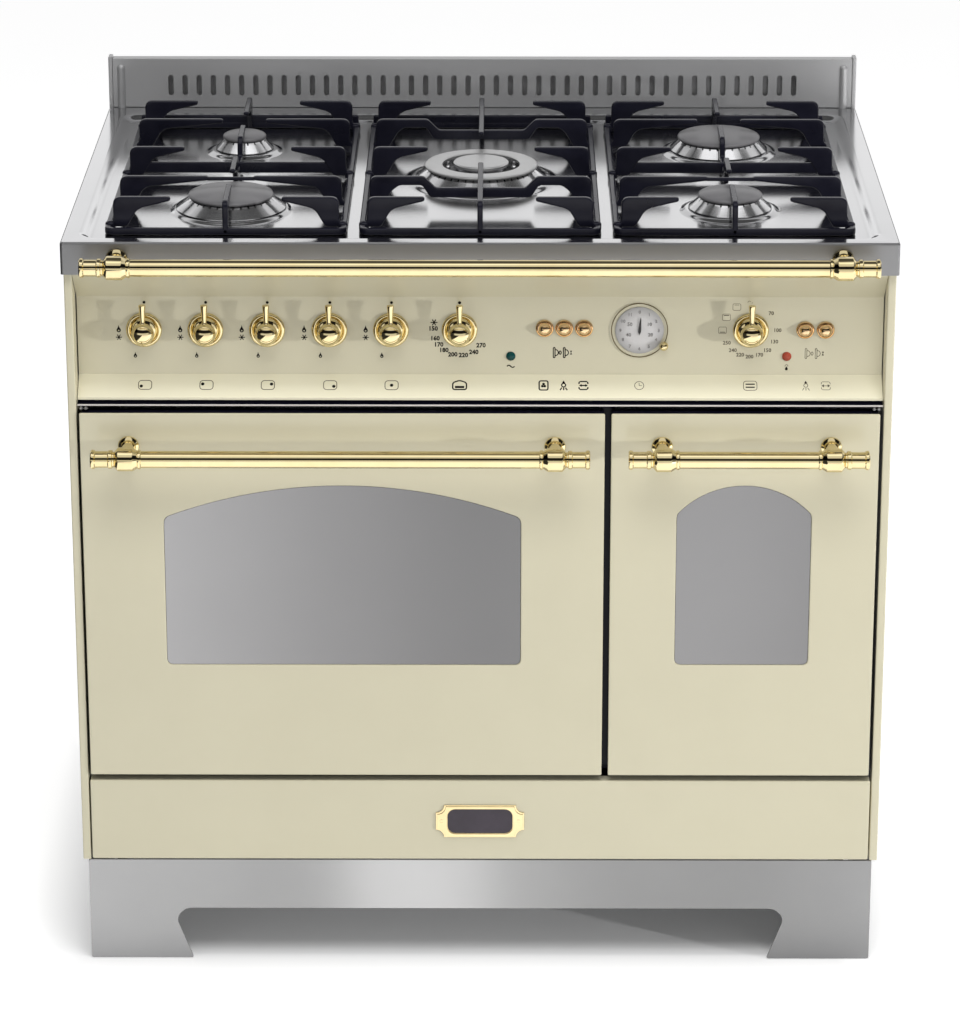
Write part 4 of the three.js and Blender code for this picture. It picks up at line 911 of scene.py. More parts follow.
past_flanges = bpy.data.collections.new("past_the_flanges")
for name, side in (("left", -1), ("right", 1)):
    section = [(448, -290), (439, -290), (439, -262), (441, -262), (441, -288), (446, -288), (446, 295.7),
               (448, 295.7)]
    outline = softened([(side * x, y) for x, y in section], 1.6, 3)
    sheet = bmesh.new()
    plate(sheet, outline, 122.6, 813.7, lying, bevel=0.35, steps=2)
    side_sheet = finished(f"side_sheet_{name}", sheet, cream_enamel)
    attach(side_sheet, "cabinet")
    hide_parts(f"side_panel_{name}")
    past_flanges.objects.link(side_sheet)
for entry in past_flanges.collection_objects:
    entry.light_linking.link_state = "EXCLUDE"
side_light.light_linking.blocker_collection = past_flanges  # their flanges don't shade the panel's end

# ---------------------------------------------------------------- control panel
# One cream enamelled sheet folded into three facets. The top one leans back under the hob's lip, the middle
# one stands upright and carries the controls, and the lowest leans forward over the doors, painted a paler
# cream to stand for the light from above that it catches.

# painted light: a paler copy of the cream enamel for the lowest facet, for the light from above that it
# catches
lit_facet_enamel = finish("cream_enamel_painted_light", (0.75, 0.71, 0.535), (0.79, 0.75, 0.565), (0.20, 0.28), cloud=2.5,
                     grain=(220, 220, 220), relief=0.02, coat=0.15)
panel = bmesh.new()
PANEL_HALF, PANEL_FACE, PANEL_FOOT_FACE, PANEL_SHEET = 438.5, -255.0, -277.0, 2.0
PANEL_TOP, UPPER_FOLD, LOWER_FOLD, PANEL_FOOT = 811.0, 776.0, 688.0, 665.0
FOOT_TURN = PANEL_FOOT + 2.6  # the lowest facet ends in a short upright edge
outer_line = [
    (-290, PANEL_TOP), (-290, PANEL_TOP - 1.5), (PANEL_FACE - 1.0, UPPER_FOLD + 1.0),
    (PANEL_FACE - 0.4, UPPER_FOLD + 0.3), (PANEL_FACE - 0.1, UPPER_FOLD - 0.4),
    (PANEL_FACE, UPPER_FOLD - 1.1), (PANEL_FACE, LOWER_FOLD + 0.8), (PANEL_FACE - 0.1, LOWER_FOLD + 0.3),
    (PANEL_FACE - 0.4, LOWER_FOLD - 0.3), (PANEL_FOOT_FACE + 0.5, FOOT_TURN + 0.6),
    (PANEL_FOOT_FACE + 0.1, FOOT_TURN), (PANEL_FOOT_FACE, FOOT_TURN - 0.6), (PANEL_FOOT_FACE, PANEL_FOOT)]
inner_line = [
    (PANEL_FOOT_FACE + PANEL_SHEET, PANEL_FOOT), (PANEL_FOOT_FACE + PANEL_SHEET, FOOT_TURN - 1.4),
    (PANEL_FACE + 0.8, LOWER_FOLD - 2.4), (PANEL_FACE + 1.7, LOWER_FOLD - 1.0),
    (PANEL_FACE + PANEL_SHEET, LOWER_FOLD + 0.8), (PANEL_FACE + PANEL_SHEET, UPPER_FOLD - 1.1),
    (PANEL_FACE + 1.4, UPPER_FOLD + 0.8), (-288, PANEL_TOP - 0.8), (-288, PANEL_TOP)]
CONTROL_HEIGHT, LAMP_HEIGHT = 738.5, 708.7
GAS_KNOB_PLACES = (-366, -299, -232, -164, -97)
THERMOSTAT_X, TIMER_X, SELECTOR_X, POWER_LAMP_X, HEATING_LAMP_X = -22.3, 173.6, 294.7, 33.5, 334.4
BUTTON_PLACES = ((70.3, 740.5), (91.6, 740.5), (113.2, 740.5), (353.9, 739), (376.1, 739))
holes = [(x, z, 8.2) for x, z in BUTTON_PLACES]
holes += [(x, CONTROL_HEIGHT, 4.5) for x in (*GAS_KNOB_PLACES, THERMOSTAT_X, SELECTOR_X)]
holes += [(POWER_LAMP_X, LAMP_HEIGHT, 4.5), (HEATING_LAMP_X, LAMP_HEIGHT, 4.5)]
holes += [(TIMER_X, CONTROL_HEIGHT, 23.5)]
for line in (outer_line, inner_line):
    left = loop_of(panel, [(-PANEL_HALF, y, z) for y, z in line])
    right = loop_of(panel, [(PANEL_HALF, y, z) for y, z in line])
    for i in range(len(line) - 1):
        if line[i][0] == line[i + 1][0] and abs(line[i][1] - line[i + 1][1]) > 50:
            facet = [left[i], left[i + 1], right[i + 1], right[i]]
        else:
            panel.faces.new((left[i], left[i + 1], right[i + 1], right[i]))
    rims = [loop_of(panel, [(a, facet[0].co.y, b) for a, b in arc(x, z, r, 0, 360 - 7.5, 47)])
            for x, z, r in holes]
    cover(panel, [facet] + rims, (0, -1, 0))
    if line is outer_line:
        front_rims, front_ends = rims, (left, right)
for front, back in zip(front_rims, rims):
    band(panel, front, back)
for front, back in zip(front_ends, (left, right)):
    cover(panel, [front + back], (1, 0, 0))
for first, last in ((0, -1), (-1, 0)):
    panel.faces.new((front_ends[0][first], front_ends[1][first], right[last], left[last]))
panel_sheet = finished("control_panel_sheet", panel, cream_enamel, crease=24)
panel_sheet.data.materials.append(lit_facet_enamel)
# the lowest facet takes the paler copy of the enamel: painted light
for facet in panel_sheet.data.polygons:
    if facet.center.z * 1000 < LOWER_FOLD - 0.1:
        facet.material_index = 1
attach(panel_sheet, "cabinet")
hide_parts("control_panel")

# ---------------------------------------------------------------- knobs
# Solid brass knobs, turned and polished: a dished flange, a slightly flattened ball on a short neck, and a
# flared pointer standing on the ball. Each is pushed onto the spindle of its valve or switch.

BALL_OUT, BALL_WIDE, BALL_DEEP = 18.0, 12.5, 9.6  # its middle in front of the panel, and its half axes
KNOBS = [(f"gas_knob_{i + 1}", x) for i, x in enumerate(GAS_KNOB_PLACES)]
KNOBS += [("thermostat_knob", THERMOSTAT_X), ("selector_knob", SELECTOR_X)]
for name, x in KNOBS:
    knob_work = bmesh.new()
    flange = [(0, -7), (4, -7), (4, 0.5), (18.9, 0.5), (19.5, 1.1), (19.5, 1.9), (18.9, 3.0), (17.8, 3.8),
              (16.6, 4.0), (15.6, 3.6), (14.8, 2.9), (14.0, 2.7), (13.3, 3.2), (12.4, 4.4),
              (11.2, 5.0), (10.0, 5.2)]
    neck = [(7.6, 6.4), (7.0, 8.0)]
    ball = [(BALL_WIDE * math.cos(math.radians(a)), BALL_OUT + BALL_DEEP * math.sin(math.radians(a)))
            for a in range(-54, 90, 6)]
    ball.append((0, BALL_OUT + BALL_DEEP))
    turned(knob_work, flange + neck + ball, (x, PANEL_FACE, CONTROL_HEIGHT), axis="out", segments=72)
    stem = [(0, 10.2), (3.2, 10.2), (3.1, 12.2), (2.5, 13.2), (2.4, 14.6), (2.9, 19.6), (3.6, 29),
            (3.95, 31.9), (3.8, 32.9), (3.2, 33.3), (0, 33.5)]
    turned(knob_work, stem, (x, PANEL_FACE - BALL_OUT, CONTROL_HEIGHT), segments=32)
    knob = finished(f"{name}_brass", knob_work, polished_brass, crease=40)
    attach(knob, name)
    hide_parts(name)

# ---------------------------------------------------------------- push buttons
# Five rose-brass push buttons for the fan, the lamps and the spits: a turned collar fixed in the panel and a
# domed button that slides in it against a spring.

rose_brass = finish("rose_brass", (0.78, 0.54, 0.30), (0.86, 0.63, 0.38), (0.03, 0.07), metallic=1.0,
                    cloud=18.0, grain=(900, 900, 900), relief=0.002)
collars = bmesh.new()
for i, (x, z) in enumerate(BUTTON_PLACES):
    collar = [(8.1, 0.1), (9.6, 0.1), (9.9, 0.7), (9.8, 1.5), (9.2, 2.3), (8.6, 2.5), (8.1, 2.2), (8.1, 0.1)]
    turned(collars, collar, (x, PANEL_FACE, z), axis="out", segments=48)
    button_work = bmesh.new()
    dome = [(0, -9), (7.8, -9), (7.8, 2.0), (7.3, 2.6), (6.9, 2.6)]
    dome += [(7.0 * math.cos(math.radians(a)), 2.8 + 6.4 * math.sin(math.radians(a)))
             for a in range(6, 90, 6)]
    turned(button_work, dome + [(0, 9.2)], (x, PANEL_FACE, z), axis="out", segments=48)
    button = finished(f"button_{i + 1}_dome", button_work, rose_brass, crease=40)
    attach(button, f"button_{i + 1}")
    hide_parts(f"button_{i + 1}")
button_collars = finished("button_collars", collars, rose_brass, crease=40)
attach(button_collars, "cabinet")

# ---------------------------------------------------------------- indicator lamps
# Two neon indicators with lenses moulded in tinted plastic, teal for the mains and red for heating. They
# snap into holes in the panel.


def lens(name, node, x, slot, deep, bright):
    material = finish(f"{slot}_plastic", deep, bright, (0.16, 0.26), cloud=120.0, grain=(2500, 2500, 2500),
                      relief=0.02, specular=0.3)
    lens_work = bmesh.new()
    turned(lens_work, [(0, -6), (4.2, -6), (4.2, 0.3), (5.1, 0.3), (5.1, 0.9), (4.7, 1.3), (4.1, 1.5),
                       (3.4, 2.3), (2.2, 2.9), (0, 3.1)],
           (x, PANEL_FACE, LAMP_HEIGHT), axis="out", segments=32)
    piece = finished(name, lens_work, material, crease=40)
    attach(piece, "cabinet")
    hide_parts(node)


lens("lamp_power_lens", "lamp_power", POWER_LAMP_X, "teal_lens",
     (0.001, 0.040, 0.040), (0.002, 0.075, 0.072))
lens("lamp_heating_lens", "lamp_heating", HEATING_LAMP_X, "red_lens",
     (0.30, 0.045, 0.025), (0.45, 0.085, 0.05))

# ---------------------------------------------------------------- timer
# Clockwork timer: a domed dial printed with figures, a thin wire ring round it that winds it by a brass ball,
# and a needle that creeps back to nought. The ring's dark colour is painted shade for the gap round the dial.

dial_lacquer = finish("dial_lacquer", (0.61, 0.60, 0.60), (0.66, 0.65, 0.65), (0.30, 0.40), cloud=30.0,
                      grain=(900, 900, 900), relief=0.01)


def silvered_towards_rim(material, middle, radius, darkening):
    """Darkens a dial's colour towards its rim: painted shade for its domed face turning from the light."""
    tree = material.node_tree
    shader = tree.nodes["Principled BSDF"]
    plain = shader.inputs["Base Color"].links[0].from_socket
    centred = tree.nodes.new("ShaderNodeMapping")
    centred.inputs["Location"].default_value = [-value for value in middle]
    link(tree, tree.nodes.new("ShaderNodeTexCoord").outputs["Object"], centred.inputs["Vector"])
    outwards = tree.nodes.new("ShaderNodeVectorMath")
    outwards.operation = "LENGTH"
    link(tree, centred.outputs[0], outwards.inputs[0])
    rim = map_range(tree, outwards.outputs["Value"], 1.0, darkening, radius * 0.55, radius)
    shaded = tree.nodes.new("ShaderNodeVectorMath")
    shaded.operation = "SCALE"
    link(tree, plain, shaded.inputs[0])
    link(tree, rim, shaded.inputs["Scale"])
    link(tree, shaded.outputs[0], shader.inputs["Base Color"])


DIAL_RADIUS, DIAL_CROWN, DIAL_FALL = 26.0, 3.0, 1.7
# painted shade: the dial's colour darkens towards its rim
silvered_towards_rim(dial_lacquer, (TIMER_X / 1000, PANEL_FACE / 1000 + HOB_MIDDLE_Y, CONTROL_HEIGHT / 1000),
                     DIAL_RADIUS / 1000, 0.62)


def dial_height(radius):
    """How far the domed dial stands off the panel at a distance from its middle."""
    return DIAL_CROWN - DIAL_FALL * (radius / DIAL_RADIUS) ** 2


dial_work = bmesh.new()
dome = [(r, dial_height(r)) for r in (26, 24, 22, 19, 16, 12, 8, 4, 0)]
turned(dial_work, [(0, -16), (23.2, -16), (23.2, 0.3), (26.5, 0.3), (26.5, 0.9)] + dome,
       (TIMER_X, PANEL_FACE, CONTROL_HEIGHT), axis="out", segments=96)
dial = finished("timer_face", dial_work, dial_lacquer, crease=35)
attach(dial, "cabinet")
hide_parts("timer_dial")

# painted shade: the ring is coloured dark to stand for the shade in the gap round the dial
gap_shade_wire = finish("gap_shade_wire", (0.10, 0.075, 0.035), (0.17, 0.13, 0.06), (0.25, 0.35), metallic=0.8,
                     cloud=40.0, grain=(1500, 1500, 1500), relief=0.03)
RING_RADIUS, RING_LIFT, WIRE_RADIUS = 30.5, 1.3, 0.5
ring_work = bmesh.new()
section = [(RING_RADIUS + WIRE_RADIUS * math.cos(math.radians(a)),
            RING_LIFT + WIRE_RADIUS * math.sin(math.radians(a))) for a in range(0, 360, 45)]
turned(ring_work, section + section[:1], (TIMER_X, PANEL_FACE, CONTROL_HEIGHT), axis="out", segments=128)
wire_ring = finished("timer_wire_ring", ring_work, gap_shade_wire, crease=60)
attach(wire_ring, "timer_ring")
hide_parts("timer_ring")

BALL_TURN, BALL_REACH = math.radians(-32), 31  # where the ball sits on the ring
ball_work = bmesh.new()
ball_x = TIMER_X + BALL_REACH * math.cos(BALL_TURN)
ball_z = CONTROL_HEIGHT + BALL_REACH * math.sin(BALL_TURN)
ball = [(0, 0.9), (1.6, 0.9), (1.6, 2.0)]
ball += [(5 * math.cos(math.radians(a)), 6.5 + 5 * math.sin(math.radians(a))) for a in range(-60, 90, 10)]
turned(ball_work, ball + [(0, 11.5)], (ball_x, PANEL_FACE, ball_z), axis="out", segments=40)
timer_ball = finished("timer_ball", ball_work, polished_brass, crease=40)
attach(timer_ball, "timer_ring")

needle_ink = finish("needle_black", (0.010, 0.008, 0.008), (0.022, 0.018, 0.018), (0.35, 0.5), cloud=60.0,
                    grain=(1500, 1500, 1500), relief=0.03)
NEEDLE_LEAN = math.radians(4)  # it hangs a little past nought
needle_work = bmesh.new()
blade = []
for along, across in ((-5, 0), (-0.5, 1.6), (3.5, 1.4), (15.1, 0.35), (15.1, -0.35), (3.5, -1.4),
                      (-0.5, -1.6)):
    blade.append((TIMER_X + along * math.sin(NEEDLE_LEAN) + across * math.cos(NEEDLE_LEAN),
                  CONTROL_HEIGHT + along * math.cos(NEEDLE_LEAN) - across * math.sin(NEEDLE_LEAN)))
plate(needle_work, blade, PANEL_FACE - 4.4, PANEL_FACE - 3.4, facing_front, bevel=0.25, steps=2)
needle_piece = finished("timer_hand", needle_work, needle_ink, crease=40)
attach(needle_piece, "timer_needle")
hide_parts("timer_needle")


def figures(work, text, x, z, height, y, depth, weight=0.02):
    """Plain figures centred on x and z, lying on a face at y that looks to the front."""
    curve = bpy.data.curves.new("figures", "FONT")
    curve.body = text
    curve.size = height * 1.42
    curve.align_x, curve.align_y = "CENTER", "CENTER"
    curve.extrude = depth
    curve.offset = height * weight
    curve.resolution_u = 2
    holder = bpy.data.objects.new("figures", curve)
    bpy.context.scene.collection.objects.link(holder)
    mesh = bpy.data.meshes.new_from_object(holder.evaluated_get(bpy.context.evaluated_depsgraph_get()))
    bpy.data.objects.remove(holder)
    mesh.transform(Matrix.Translation((x, y, z)) @ FACING_FRONT)
    work.from_mesh(mesh)
    bpy.data.meshes.remove(mesh)


grey_ink = finish("grey_ink", (0.22, 0.21, 0.21), (0.28, 0.27, 0.26), (0.45, 0.6), cloud=80.0,
                  grain=(900, 900, 900))
numerals = bmesh.new()
dial_numbers = [(str(hour), 90 - hour * 30, 20.8, 3.6) for hour in range(12)]
dial_numbers += [(minutes, angle, 12.8, 3.9)
                 for minutes, angle in (("10", 34), ("20", -22), ("40", 202), ("50", 146))]
for text, angle, radius, height in dial_numbers:
    x = TIMER_X + radius * math.cos(math.radians(angle))
    z = CONTROL_HEIGHT + radius * math.sin(math.radians(angle))
    figures(numerals, text, x, z, height, PANEL_FACE - dial_height(radius), 0.35)
dial_figures = finished("dial_figures", numerals, grey_ink, crease=60)
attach(dial_figures, "cabinet")

# ---------------------------------------------------------------- printed marks
# Generic signs and temperatures screen-printed on the panel and fired with the enamel: which burner each knob
# feeds, its flame settings, the oven temperatures and functions, and a sign under each button and lamp.

black_ink = finish("black_ink", (0.004, 0.003, 0.003), (0.010, 0.008, 0.007), (0.4, 0.55), cloud=80.0,
                   grain=(900, 900, 900), specular=0.05)
brown_ink = finish("brown_ink", (0.07, 0.058, 0.038), (0.11, 0.092, 0.065), (0.4, 0.55), cloud=80.0,
                   grain=(900, 900, 900), specular=0.1)


def on_face(a, b, c):
    return (a, PANEL_FACE - c, b)


facet_run = Vector((PANEL_FOOT_FACE - PANEL_FACE, FOOT_TURN - LOWER_FOLD)).normalized()
SIGN_LINE = 14.3  # how far down the facet the signs are centred


def on_lower_facet(a, b, c):
    """b is measured up the facet from the line that the signs are centred on."""
    down = SIGN_LINE - b
    return (a, PANEL_FACE + down * facet_run.x + c * facet_run.y,
            LOWER_FOLD + down * facet_run.y - c * facet_run.x)


INK = (-0.1, 0.09)


def outlined(work, points, width, lift):
    plate(work, drawn_in(points, -width / 2), *INK, lift, bevel=0, holes=[drawn_in(points, width / 2)])


def filled(work, points, lift):
    plate(work, points, *INK, lift, bevel=0)


def line(work, points, width, lift):
    """A stroke of even width along an open path."""
    sides = ([], [])
    for i, here in enumerate(points):
        before, after = points[max(i - 1, 0)], points[min(i + 1, len(points) - 1)]
        run = Vector((after[0] - before[0], after[1] - before[1])).normalized() * width / 2
        sides[0].append((here[0] - run.y, here[1] + run.x))
        sides[1].append((here[0] + run.y, here[1] - run.x))
    filled(work, sides[0] + sides[1][::-1], lift)


def dot(work, x, z, radius, lift):
    filled(work, arc(x, z, radius, 0, 345, 23), lift)


def box_sign(x, z, width, height, radius=2.0):
    return rounded_rectangle(x - width / 2, x + width / 2, z - height / 2, z + height / 2, radius, 4)


def flame(work, x, z, size, lift):
    """A flame: a filled tip over an open drop."""
    drop = [(x, z + size * 0.5), (x - size * 0.09, z + size * 0.2), (x - size * 0.27, z - size * 0.12)]
    drop += arc(x, z - size * 0.22, size * 0.28, 180, 360, 8) + [(x + size * 0.27, z - size * 0.12),
                                                               (x + size * 0.09, z + size * 0.2)]
    hollow = arc(x, z - size * 0.26, size * 0.10, 0, 330, 11)
    plate(work, drop, *INK, lift, bevel=0, holes=[hollow])


def star(work, x, z, size, lift):
    """Spark sign: six short rays of even width that meet in the middle."""
    points = []
    for i in range(6):
        turn = math.pi * i / 3
        ray, side = Vector((math.cos(turn), math.sin(turn))), Vector((-math.sin(turn), math.cos(turn)))
        for along, across in ((0.5, -0.07), (0.5, 0.07), (0.121, 0.07)):
            corner = (ray * along + side * across) * size
            points.append((x + corner.x, z + corner.y))
    filled(work, points, lift)


black_marks, brown_marks = bmesh.new(), bmesh.new()
BURNER_MARKS = ((-4.2, -1.3), (-4.2, 1.2), (4.0, 1.2), (4.0, -1.3), (0, 0))  # each burner's place in the sign
for x, burner_place in zip(GAS_KNOB_PLACES, BURNER_MARKS):
    dot(black_marks, x + 0.8, 769.4, 1.6, on_face)
    flame(black_marks, x - 27.6, 739.4, 8.4, on_face)
    star(black_marks, x - 27.6, 729.6, 6.8, on_face)
    flame(black_marks, x - 10.2, 709.6, 6.6, on_face)
    outlined(brown_marks, box_sign(x + 0.5, 0, 14.4, 11.2, 3.4), 0.85, on_lower_facet)
    dot(black_marks, x + 0.5 + burner_place[0], burner_place[1] * 1.1, 1.9, on_lower_facet)
dot(black_marks, THERMOSTAT_X, 769.4, 1.7, on_face)
star(black_marks, -50.1, 746.9, 7.6, on_face)
for text, x, z in (("150", -51.1, 739.8), ("160", -49.1, 728.6), ("170", -45.1, 721.5), ("180", -39.5, 715.2),
                   ("200", -29.8, 710.2), ("220", -18.2, 709.4), ("240", -6.9, 713.0), ("270", 1.0, 720.7)):
    figures(black_marks, text, x, z, 4.8, PANEL_FACE, 0.09, 0.055)
for text, x, z in (("70", 316.5, 757.6), ("100", 323.7, 738.3), ("130", 320.5, 725.3), ("150", 313.1, 715.4),
                   ("170", 304.4, 710.1), ("200", 293.8, 708.1), ("220", 283.6, 710.3), ("240", 275.5, 715.4),
                   ("250", 268.8, 723.9)):
    figures(brown_marks, text, x, z, 4.1, PANEL_FACE, 0.09, 0.03)
for x, z, heat in ((279.0, 764.8, "grill"), (267.9, 753.2, "top"), (263.9, 738.4, "bottom")):
    outlined(brown_marks, box_sign(x, z, 8.6, 7.4, 1.4), 0.45, on_face)
    level = z - 2.2 if heat == "bottom" else z + 2.2
    if heat == "grill":
        zigzag = [(x - 2.4 + i * 0.8, level + (0.35 if i % 2 else -0.35)) for i in range(7)]
        line(brown_marks, zigzag, 0.4, on_face)
    else:
        line(brown_marks, [(x - 3, level), (x + 3, level)], 0.9, on_face)
line(brown_marks, arc(292.4, 770.2, 1.5, 20, 200, 6), 0.45, on_face)
dot(brown_marks, 295.6, 769.6, 0.45, on_face)

oven_sign = softened([(-29.8, -5.2), (-14.8, -5.2), (-14.8, 3.4), (THERMOSTAT_X, 6.2), (-29.8, 3.4)], 2.6, 4)
outlined(black_marks, oven_sign, 1.6, on_lower_facet)
line(black_marks, [(-27.4, -2.1), (-17.2, -2.1)], 2.8, on_lower_facet)
outlined(brown_marks, box_sign(SELECTOR_X, 0, 14.6, 11.4, 3.0), 0.7, on_lower_facet)
for level in (-1.9, 1.9):
    line(black_marks, [(289.7, level), (299.7, level)], 1.5, on_lower_facet)
outlined(black_marks, box_sign(69.3, 0, 9.6, 11.4, 2.0), 1.5, on_lower_facet)
for angle in (90, 210, 330):
    turn = math.radians(angle)
    dot(black_marks, 69.3 + 1.5 * math.cos(turn), 1.8 * math.sin(turn), 1.5, on_lower_facet)
for x, weight, inked in ((91.2, 1.4, black_marks), (355.3, 0.7, brown_marks)):
    outlined(inked, arc(x, 0.4, 2.2, 0, 345, 23), weight, on_lower_facet)
    filled(black_marks, [(x - 1.8, 3.0), (x + 1.8, 3.0), (x, 6.2)], on_lower_facet)
    for lean in (-3.9, 0, 3.9):
        line(inked, [(x + lean * 0.5, -2.6), (x + lean, -5.8)], weight, on_lower_facet)
for x, weight, inked in ((112.8, 1.5, black_marks), (377.1, 0.6, brown_marks)):
    for rise in (-1, 1):
        bracket = [(x - 4.9, rise * 1.9), (x - 4.7, rise * 3.9), (x - 3.4, rise * 5.0),
                   (x + 3.4, rise * 5.0), (x + 4.7, rise * 3.9), (x + 4.9, rise * 1.9)]
        line(inked, bracket, weight, on_lower_facet)
    line(inked, [(x - 3.8, 0), (x + 3.8, 0)], weight, on_lower_facet)
    for way in (-1, 1):
        filled(inked, [(x + way * 2.0, -1.9), (x + way * 2.0, 1.9), (x + way * 4.8, 0)], on_lower_facet)
outlined(brown_marks, arc(TIMER_X, 0, 5.0, 0, 352, 44), 0.7, on_lower_facet)
line(brown_marks, [(TIMER_X, 3.2), (TIMER_X, 0), (176.4, 0)], 0.7, on_lower_facet)

for x, z, weight, inked in ((80.8, 712.6, 1.1, black_marks), (355.4, 711.9, 0.6, brown_marks)):
    for shift, hook in ((0, True), (11, False)):
        outlined(inked, box_sign(x + shift, z, 1.9, 11.6, 0.9), weight, on_face)
        line(inked, [(x + shift + 0.9, z + 3.4)] + arc(x + shift + 1.2, z, 3.4, 70, -70, 8)
             + [(x + shift + 0.9, z - 3.4)], weight, on_face)
        if hook:
            bulb = [(x + 6.6 + 1.1 * a, z + 1.9 * b) for a, b in arc(0, 0, 1, 0, 330, 11)]
            outlined(inked, bulb, weight, on_face)
        else:
            for rise in (-1, 1):
                blade = [(x + 17.2, z + rise * 2.2), (x + 19.6, z + rise * 2.2), (x + 18.6, z), (x + 18.2, z)]
                filled(inked, blade, on_face)
wave = [(POWER_LAMP_X + a, 696.8 - 1.2 * math.sin(a * 0.75)) for a in [-4.2 + 0.6 * i for i in range(15)]]
line(black_marks, wave, 1.3, on_face)
line(brown_marks, arc(HEATING_LAMP_X, 697.6, 1.6, -20, 200, 8), 0.6, on_face)
drop = [(HEATING_LAMP_X, 697.2), (333.0, 695.0)]
drop += arc(HEATING_LAMP_X, 694.2, 1.6, 180, 360, 8) + [(335.8, 695.0)]
filled(black_marks, drop, on_face)

for name, work, ink in (("black_signs", black_marks, black_ink), ("brown_signs", brown_marks, brown_ink)):
    signs = finished(name, work, ink, crease=60)
    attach(signs, "cabinet")

# ---------------------------------------------------------------- fascia and frame behind the doors
# Pressed black strips close the gaps between the panel, the two ovens and the shelf under them. A bright
# folded line runs along the top strip, and a spring clip sits at each of its ends.

black_enamel = finish("black_enamel", (0.004, 0.004, 0.011), (0.008, 0.008, 0.018), (0.16, 0.26), cloud=6.0,
                      grain=(500, 500, 500), relief=0.02, specular=0.15)
bright_trim = finish("bright_trim", (0.62, 0.59, 0.57), (0.72, 0.69, 0.67), (0.40, 0.55), metallic=0.2,
                     cloud=5.0, grain=(40, 900, 900), relief=0.02)


def coated(node, material):
    """Gives a node of the frame its finish."""
    holder = bpy.data.objects[node]
    if not holder.material_slots:
        holder.data.materials.append(material)
    for place in holder.material_slots:
        place.material = material


for node in ("mullion", "chassis"):
    coated(node, black_enamel)
strip = bmesh.new()
slab(strip, -PANEL_HALF, PANEL_HALF, -271.8, -262.5, 656, 664.6, 0.4)
slab(strip, -PANEL_HALF, PANEL_HALF, -282.6, -271.4, 660.6, 661.5, 0.3)
top_strip = finished("fascia_black_strip", strip, black_enamel)
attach(top_strip, "cabinet")
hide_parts("fascia_strip")
trim = bmesh.new()
slab(trim, -PANEL_HALF, PANEL_HALF, -284, -282.4, 660.2, 661.9, 0.4)
bright_line = finished("fascia_bright_line", trim, bright_trim)
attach(bright_line, "cabinet")
clip_work = bmesh.new()
for x in (-431.5, 431.5):
    for turn in (-1, 1):
        turned(clip_work, [(0, 0.2), (1.9, 0.2), (2.1, 0.6), (1.9, 3.2), (1.2, 3.9), (0, 4.0)],
               (x + turn * 2.6, -282.4, 657.9), axis="out", segments=20)
    slab(clip_work, x - 5, x + 5, -283.6, -271.4, 656.6, 657.4, 0.3)
spring_clips = finished("spring_clips", clip_work, brushed_steel)
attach(spring_clips, "cabinet")

# ---------------------------------------------------------------- oven doors
# Each door is a cream enamelled front sheet with an arched window, a mirrored glass pane behind it, a black
# pan that closes the back and holds the seal, and a brass bar handle bolted through. It drops on hinges at
# its foot.

mirror_glass = finish("mirror_glass", (0.94, 0.93, 0.94), (1.0, 0.99, 1.0), (0.10, 0.16), metallic=0.85,
                      cloud=1.6, grain=(8, 8, 8), relief=0.004)


def silvered_across(material, places):
    """Painted reflection: a tone across a bright sheet's width; places are (x in millimetres, tone)."""
    tree = material.node_tree
    shader = tree.nodes["Principled BSDF"]
    plain = shader.inputs["Base Color"].links[0].from_socket
    split = tree.nodes.new("ShaderNodeSeparateXYZ")
    link(tree, tree.nodes.new("ShaderNodeTexCoord").outputs["Object"], split.inputs[0])
    first, last = places[0][0], places[-1][0]
    across = map_range(tree, split.outputs["X"], 0.0, 1.0, first / 1000, last / 1000)
    painted_reflection_curve = tree.nodes.new("ShaderNodeFloatCurve")
    curve = painted_reflection_curve.mapping.curves[0]
    curve.points[0].location = (0.0, places[0][1])
    curve.points[1].location = (1.0, places[-1][1])
    for x, tone in places[1:-1]:
        curve.points.new((x - first) / (last - first), tone)
    painted_reflection_curve.mapping.update()
    link(tree, across, painted_reflection_curve.inputs["Value"])
    toned = tree.nodes.new("ShaderNodeVectorMath")
    toned.operation = "SCALE"
    link(tree, plain, toned.inputs[0])
    link(tree, painted_reflection_curve.outputs[0], toned.inputs["Scale"])
    link(tree, toned.outputs[0], shader.inputs["Base Color"])


# painted reflection: the pane's tone across its width stands in for the studio reflected in it
silvered_across(mirror_glass, (
    (-350, 0.34), (-250, 0.28), (-150, 0.23), (45, 0.18), (130, 0.22), (215, 0.25), (365, 0.22)))


def window_outline(x0, x1, foot, side, crown, grow=0.0):
    """The arched window: straight foot and sides, a crown on one circle, and small rounded corners."""
    half, rise, middle = (x1 - x0) / 2, crown - side, (x0 + x1) / 2
    radius = (half * half + rise * rise) / (2 * rise)
    span = math.degrees(math.asin(half / radius))
    points = [(x0, foot), (x1, foot)] + arc(middle, crown - radius, radius, 90 - span, 90 + span, 28)
    rounded = softened(points, 7.0, 5)
    return drawn_in(rounded, -grow) if grow else rounded


